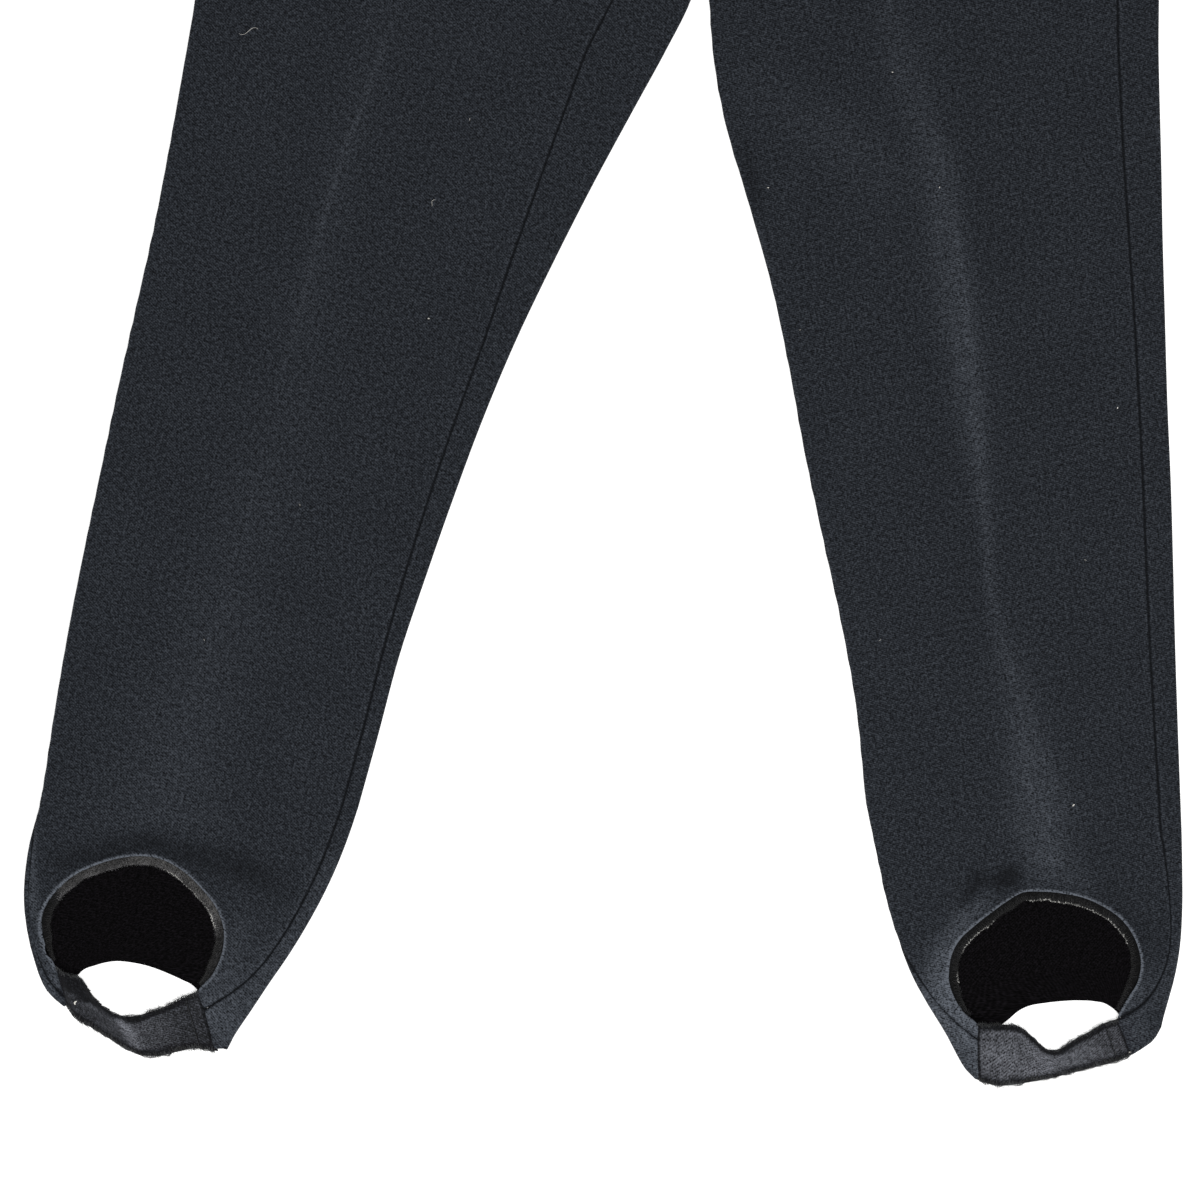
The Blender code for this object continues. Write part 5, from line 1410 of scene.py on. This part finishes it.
def sew_facing(tree, side, edge, inwards, way_round, threads):
    """The facing's overlock, black at the arch's feet in thread painted darker as shade, and rubbed
    grey between, fluffed up in places.
    """
    deep, grey, fluff = threads
    low, high = GREY_THREAD[side]
    made = []
    stretches = (("low", 0, low, deep), ("grey", low, high, grey), ("high", high, 1, deep))
    for name, start, end, thread in stretches:
        kept = (way_round >= start) & (way_round <= end)
        if kept.sum() < 3:
            continue
        made += overlock(tree, f"overlock_facing_{side}_{name}", edge[kept], inwards[kept],
                         (0, 0, 1), thread,
                         11, pitch=1.1, thread=0.15, reach=3.6, bulge=0.4, fluff=0.8)
    for k, (start, end) in enumerate(FLUFFED[side]):
        kept = (way_round >= start) & (way_round <= end)
        made.append(sew(tree, f"overlock_facing_{side}_fluffed_{k}", edge[kept], inwards[kept],
                        (0, 0, 1), fluff,
                        17 + k, pitch=0.75, thread=0.26, reach=0.9, bulge=0.6, swing=0.6, spread=1.5))
    return made


def surface_of(pieces):
    """One search tree over some pieces, in millimetres."""
    points, faces = [], []
    for thing in pieces:
        start = len(points)
        points += [vertex.co / MM for vertex in thing.data.vertices]
        faces += [[start + k for k in face.vertices] for face in thing.data.polygons]
    return BVHTree.FromPolygons(points, faces)


def drape(plan, surface, lift=0.1):
    """Places just above the cloth under some points of the lay, and the cloth's normals there."""
    places, ups = [], []
    for x, y in to_world(np.column_stack([plan, np.zeros(len(plan))]))[:, :2]:
        spot, normal, _, _ = surface.ray_cast(Vector((x, y, 60.0)), Vector((0, 0, -1)))
        if spot is None:
            continue
        places.append(spot + normal * lift)
        ups.append(normal)
    return np.array(places), np.array(ups)


def running_stitch(tree, name, plan, surface, spun, seed, **sizes):
    """A line of straight stitches over the cloth."""
    places, ups = drape(plan, surface, sizes.get("lift", 0.05))
    way = np.gradient(places, axis=0)
    across = np.cross(way, ups)
    return sew(tree, name, places, across, ups, spun, seed, pitch=sizes["pitch"],
               thread=sizes["thread"],
               swing=sizes["pitch"] * 0.78, bulge=sizes.get("bulge", 0.35), spread=0.07)


def fine_line(points, count):
    points = np.asarray(points, float)
    return path_read(np.linspace(0, 1, count), along(points), points)


def thread_tubes(name, paths, radii, thread, sides=5):
    """Bits of thread or lint along some paths, in millimetres, tapered at their ends."""
    points, faces = [], []
    for path, radius in zip(paths, radii):
        path = np.asarray(path, float)
        way = np.gradient(path, axis=0)
        way /= np.linalg.norm(way, axis=1, keepdims=True)
        side = np.cross(way, [0, 0, 1.0])
        side /= np.linalg.norm(side, axis=1, keepdims=True) + 1e-9
        top = np.cross(side, way)
        start = len(points)
        for k, place in enumerate(path):
            thin = radius * (0.25 + 0.75 * math.sin(math.pi * (k + 0.5) / len(path)) ** 0.5)
            for j in range(sides):
                angle = 2 * math.pi * j / sides
                points.append(place + thin * (math.cos(angle) * side[k] + math.sin(angle) * top[k]))
        for k in range(len(path) - 1):
            for j in range(sides):
                a, b = start + k * sides + j, start + k * sides + (j + 1) % sides
                faces.append([b, a, a + sides, b + sides])
        faces.append([start + j for j in range(sides)])
        faces.append([start + (len(path) - 1) * sides + j for j in range(sides)][::-1])
    mesh = bpy.data.meshes.new(name)
    mesh.from_pydata((np.array(points) * MM).tolist(), [], faces)
    mesh.shade_smooth()
    mesh.materials.append(thread)
    thing = bpy.data.objects.new(name, mesh)
    bpy.context.collection.objects.link(thing)
    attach(thing, "root")
    return thing


# Lint and hairs on the cloth, in pixels of the view: x, y, length and radius in millimetres, and turn
LINT_COLUMNS = ("x", "y", "length", "radius", "turn")
LINT = [
    (249, 32, 12.0, 0.09, 0.1), (433, 203, 4.5, 0.1, 1.1), (429, 319, 1.1, 0.3, 0.3),
    (768, 188, 1.0, 0.3, 0.6),
    (892, 73, 0.9, 0.28, 0.2), (939, 188, 0.9, 0.26, 1.4), (1117, 408, 1.0, 0.28, 0.9),
    (1073, 805, 1.5, 0.4, 0.5),
    (76, 1002, 2.4, 0.55, 1.3), (1130, 1052, 1.3, 0.4, 0.8), (610, 180, 1.2, 0.1, 0.8),
    (300, 505, 1.6, 0.08, 2.1), (880, 640, 1.8, 0.08, 0.4),
    (205, 640, 1.4, 0.08, 1.7), (1085, 560, 1.5, 0.08, 2.6), (470, 120, 1.7, 0.08, 1.9),
    (800, 330, 1.3, 0.08, 0.7),
]


def scatter_lint(surface, fibre):
    paths, radii = [], []
    for k, values in enumerate(LINT):
        bit = dict(zip(LINT_COLUMNS, values))
        spot, _ = drape(from_view([(bit["x"], bit["y"])]), surface, bit["radius"] * 0.8)
        if not len(spot):
            continue
        reach = np.linspace(-0.5, 0.5, 9) * bit["length"]
        bend = 0.18 * bit["length"] * np.sin(reach / bit["length"] * 5 + k)
        cos, sin = math.cos(bit["turn"]), math.sin(bit["turn"])
        plan = np.column_stack([reach * cos - bend * sin, reach * sin + bend * cos])
        paths.append(spot[0] + np.column_stack([plan, np.full(len(plan), 0.1)]))
        radii.append(bit["radius"])
    return thread_tubes("lint", paths, radii, fibre)


def make_button(level, plastic):
    """A turned disc with a raised rim, a dished middle and four holes, on the lap of the waistband."""
    outer, rim = BUTTON_RADIUS, BUTTON_RIM
    top, hollow = BUTTON_THICK, BUTTON_THICK - BUTTON_DISH
    profile = [(0.0, 0.0), (outer - 1.0, 0.0), (outer - 0.35, 0.25), (outer, 0.9), (outer, top - 0.8),
               (outer - 0.25, top - 0.2), (outer - 0.8, top), (outer - rim, top - 0.05),
               (outer - rim - 0.8, hollow + 0.25), (outer - rim - 1.8, hollow + 0.05), (0.0, hollow)]
    sides = 72
    made = bmesh.new()
    rings = []
    for radius, z in profile:
        count = sides if radius else 1
        turn = [2 * math.pi * k / sides for k in range(count)]
        rings.append([made.verts.new((radius * math.cos(a), radius * math.sin(a), z)) for a in turn])
    for low, high in zip(rings, rings[1:]):
        for k in range(sides):
            j = (k + 1) % sides
            corners = [low[k % len(low)], low[j % len(low)], high[j % len(high)], high[k % len(high)]]
            made.faces.new(list(dict.fromkeys(corners)))
    bmesh.ops.recalc_face_normals(made, faces=made.faces)
    drills = bmesh.new()
    for turn in range(4):
        angle = math.pi / 4 + turn * math.pi / 2
        place = Matrix.Translation((BUTTON_HOLES * math.cos(angle),
                                    BUTTON_HOLES * math.sin(angle), 1.0))
        bmesh.ops.create_cone(drills, cap_ends=True, segments=20, radius1=HOLE_RADIUS,
                              radius2=HOLE_RADIUS,
                              depth=8.0, matrix=place)
    things = []
    for name, built in (("button_resin", made), ("button_drills", drills)):
        mesh = bpy.data.meshes.new(name)
        built.to_mesh(mesh)
        built.free()
        thing = bpy.data.objects.new(name, mesh)
        bpy.context.collection.objects.link(thing)
        things.append(thing)
    button, cutter = things
    cut = button.modifiers.new("holes", "BOOLEAN")
    cut.object, cut.solver = cutter, "EXACT"
    graph = bpy.context.evaluated_depsgraph_get()
    drilled = bpy.data.meshes.new_from_object(button.evaluated_get(graph))
    button.modifiers.remove(cut)
    bpy.data.objects.remove(cutter, do_unlink=True)
    centre = table_read(BODY, BODY_COLUMNS, "centre", WAIST_SEAM)
    place = to_world(np.array([centre + BUTTON_OFF_CENTRE, (WAIST_SEAM + WAISTBAND_TOP) / 2,
                               level + SEAM]))
    drilled.transform(Matrix.Scale(MM, 4) @ Matrix.Translation(place))
    drilled.shade_smooth()
    drilled.set_sharp_from_angle(angle=math.radians(40))
    drilled.materials.clear()
    drilled.materials.append(plastic)
    button.data = drilled
    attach(button, "root")
    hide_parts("button")
    return button, place


def make_button_thread(place, thread):
    """Two bars of thread over the button's holes, each of four strands."""
    paths = []
    for side in (-1, 1):
        for strand in range(4):
            y = BUTTON_HOLES * 0.707 * side + (strand - 1.5) * 0.3
            x = np.linspace(-1, 1, 9) * (BUTTON_HOLES * 0.707 + 0.25)
            z = 2.35 + 0.16 * (strand % 2) - 1.5 * np.clip(abs(x) - BUTTON_HOLES * 0.707 + 0.2, 0, 1)
            paths.append(np.column_stack([place[0] + x, np.full(9, place[1] + y), place[2] + z - 0.45]))
    bars = thread_tubes("button_thread", paths, [0.17] * len(paths), thread)
    return bars


def fly_line(leg, reach, foot):
    """The fly's stitch line: straight down from the waistband, then round into the centre seam."""
    down = np.linspace(WAIST_SEAM - 1.5, foot + reach, 40)
    centre = np.array([table_read(BODY, BODY_COLUMNS, "centre", y) for y in down])
    straight = np.column_stack([centre + leg.sign * reach, down])
    turn = np.linspace(0, math.pi / 2, 24)[1:]
    last = table_read(BODY, BODY_COLUMNS, "centre", foot)
    hook = np.column_stack([last + leg.sign * (0.8 + (reach - 0.8) * np.cos(turn)),
                            foot + reach - reach * np.sin(turn)])
    return np.concatenate([straight, hook])


def buttonhole_line(centre, length, half, count=90):
    """A long oval round a slit."""
    turn = np.linspace(0, 2 * math.pi, count)
    run = (length / 2 - half) * np.clip(1.4 * np.cos(turn), -1, 1)
    return np.column_stack([centre[0] + run + half * np.cos(turn), centre[1] + half * np.sin(turn)])


def set_view():
    """The camera straight above, the soft lights and the paper that the cloth lies on."""
    centre = to_world(np.array([*VIEW_CENTRE, 0.0])) * MM
    lens = bpy.data.cameras.new("camera")
    lens.sensor_width, lens.lens = SENSOR, SENSOR * VIEW_HEIGHT / VIEW_WIDTH
    lens.clip_end = 50.0
    camera = bpy.data.objects.new("camera", lens)
    camera.location = (centre[0], centre[1], VIEW_HEIGHT * MM + HIGH * MM)
    camera.rotation_euler = (0, 0, VIEW_TURN)
    bpy.context.collection.objects.link(camera)
    bpy.context.scene.camera = camera
    for name, place, size, power in LIGHTS:
        lamp = bpy.data.lights.new(name, "AREA")
        lamp.shape, lamp.size, lamp.energy = "SQUARE", size, power
        light = bpy.data.objects.new(name, lamp)
        light.location = place
        aim = Vector((0, -0.2, 0)) - Vector(place)
        light.rotation_euler = aim.to_track_quat("-Z", "Y").to_euler()
        bpy.context.collection.objects.link(light)
    world = bpy.data.worlds.new("studio")
    world.use_nodes = True
    world.node_tree.nodes["Background"].inputs["Color"].default_value = (1, 1, 1, 1)
    world.node_tree.nodes["Background"].inputs["Strength"].default_value = WORLD_LIGHT
    bpy.context.scene.world = world
    bpy.context.scene.view_settings.view_transform = "Standard"
    made = bmesh.new()
    bmesh.ops.create_grid(made, x_segments=8, y_segments=8, size=3.0)
    mesh = bpy.data.meshes.new("floor")
    made.to_mesh(mesh)
    made.free()
    mesh.transform(Matrix.Translation((0, 0, -0.0002)))
    mesh.materials.append(light_table())
    floor = bpy.data.objects.new("floor", mesh)
    bpy.context.collection.objects.link(floor)


def main():
    set_view()
    cloths = make_cloths()
    black = spun_thread("polyester_thread_spun_black", "060607", "3a3c3e")
    # The black thread again, darker, as painted shade on the facing's overlock inside the arches
    deep = spun_thread("polyester_thread_spun_black_in_painted_shade", "030303", "1d1d1e")
    grey = spun_thread("polyester_thread_spun_rubbed", "0b0b0c", "69686a")
    fluff = spun_thread("polyester_thread_fluffed", "4a4a49", "b9b8b3")
    fibre = spun_thread("cotton_lint_loose", "b9b6ae", "efece6", 0.9)
    resin = cast_resin()
    tree = stitch_tree()
    up = (0, 0, 1)
    made, extras = [], {}
    for side in ("right", "left"):
        leg = Leg(side)
        rows = leg.rows()
        for part in ("front", "back"):
            found = make_panel(leg, part, rows, cloths)
            made.append({**found, "slot": "black_twill"})
            extras[found["node"]] = []
        found = make_facing(leg, cloths)
        edge, inwards, way_round = found.pop("edge")
        extras[found["node"]] = sew_facing(tree, side, edge, inwards, way_round, (deep, grey, fluff))
        made.append({**found, "slot": "facing_twill"})
        found = make_strap(leg, cloths)
        lines = found.pop("edges")
        heel, toe = lines["heel"], lines["toe"]
        threads = overlock(tree, f"overlock_heel_{side}", heel[0], heel[1], up, black, 23,
                           pitch=1.1, thread=0.28, reach=3.2, bulge=0.9, fluff=1.5)
        threads += overlock(tree, f"overlock_toe_{side}", toe[0], toe[1], up, black, 31,
                            pitch=1.1, thread=0.26, reach=2.6, bulge=0.8, fluff=1.0)
        strap_surface = surface_of([found["piece"]])
        name = STITCHED_END[side]
        toe_end, heel_end = leg.tab_end(name)
        way = (heel_end - toe_end) / np.linalg.norm(heel_end - toe_end)
        off = np.array([-way[1], way[0]])
        off = off * np.sign(off[0]) * (-leg.sign if name == "outer" else leg.sign) * STRAP_STITCH_IN
        line = fine_line([toe_end + off + 3 * way, heel_end + off - 3 * way], 30)
        threads.append(running_stitch(tree, f"stitch_strap_{side}", line, strap_surface, black, 41,
                                      pitch=2.6, thread=0.16))
        extras[found["node"]] = threads
        made.append({**found, "slot": "strap_twill"})
    found = make_waistband(cloths)
    stitched = found.pop("stitched")
    threads = []
    for name, (line, normal) in stitched.items():
        threads.append(sew(tree, f"topstitch_waistband_{name}", line,
                           np.cross(np.gradient(line, axis=0), normal),
                           normal, black, 51, pitch=2.7, thread=0.17, swing=2.1, bulge=0.35,
                           spread=0.06))
    made.append({**found, "slot": "black_twill"})
    top_surface = surface_of([piece["piece"] for piece in made
                              if piece["node"].startswith(("front", "waist"))])
    button, place = make_button(waistband_path()[0][1] + BAND_WALL / 2, resin)
    bars = make_button_thread(place, black)
    hole = buttonhole_line(place[:2] + [-4.0, 0], 25.0, 1.7)
    spots, ups = drape(hole + [CENTRE_X, CENTRE_Y], top_surface, 0.05)
    outwards = spots - [place[0] - 4.0, place[1], 0]
    threads.append(sew(tree, "buttonhole", spots, outwards * [0.25, 1, 0], ups, black, 61, pitch=0.5,
                       thread=0.16, reach=1.7, bulge=0.5, spread=0.08))
    extras["waistband"] = threads
    for shift, k in ((0.0, 0), (-6.0, 1)):
        line = fly_line(Leg("right"), FLY_REACH + shift, FLY_FOOT + 6 * k)
        extras["front_right"].append(running_stitch(tree, f"stitch_fly_{k}", line, top_surface,
                                                    black, 71 + k,
                                                    pitch=2.7, thread=0.17))
    for thing in made:
        threads = extras.get(thing["node"], [])
        declare(thing["piece"], thing["node"], thing["flat"], thing["area"])
    lint = scatter_lint(surface_of([piece["piece"] for piece in made]), fibre)


main()
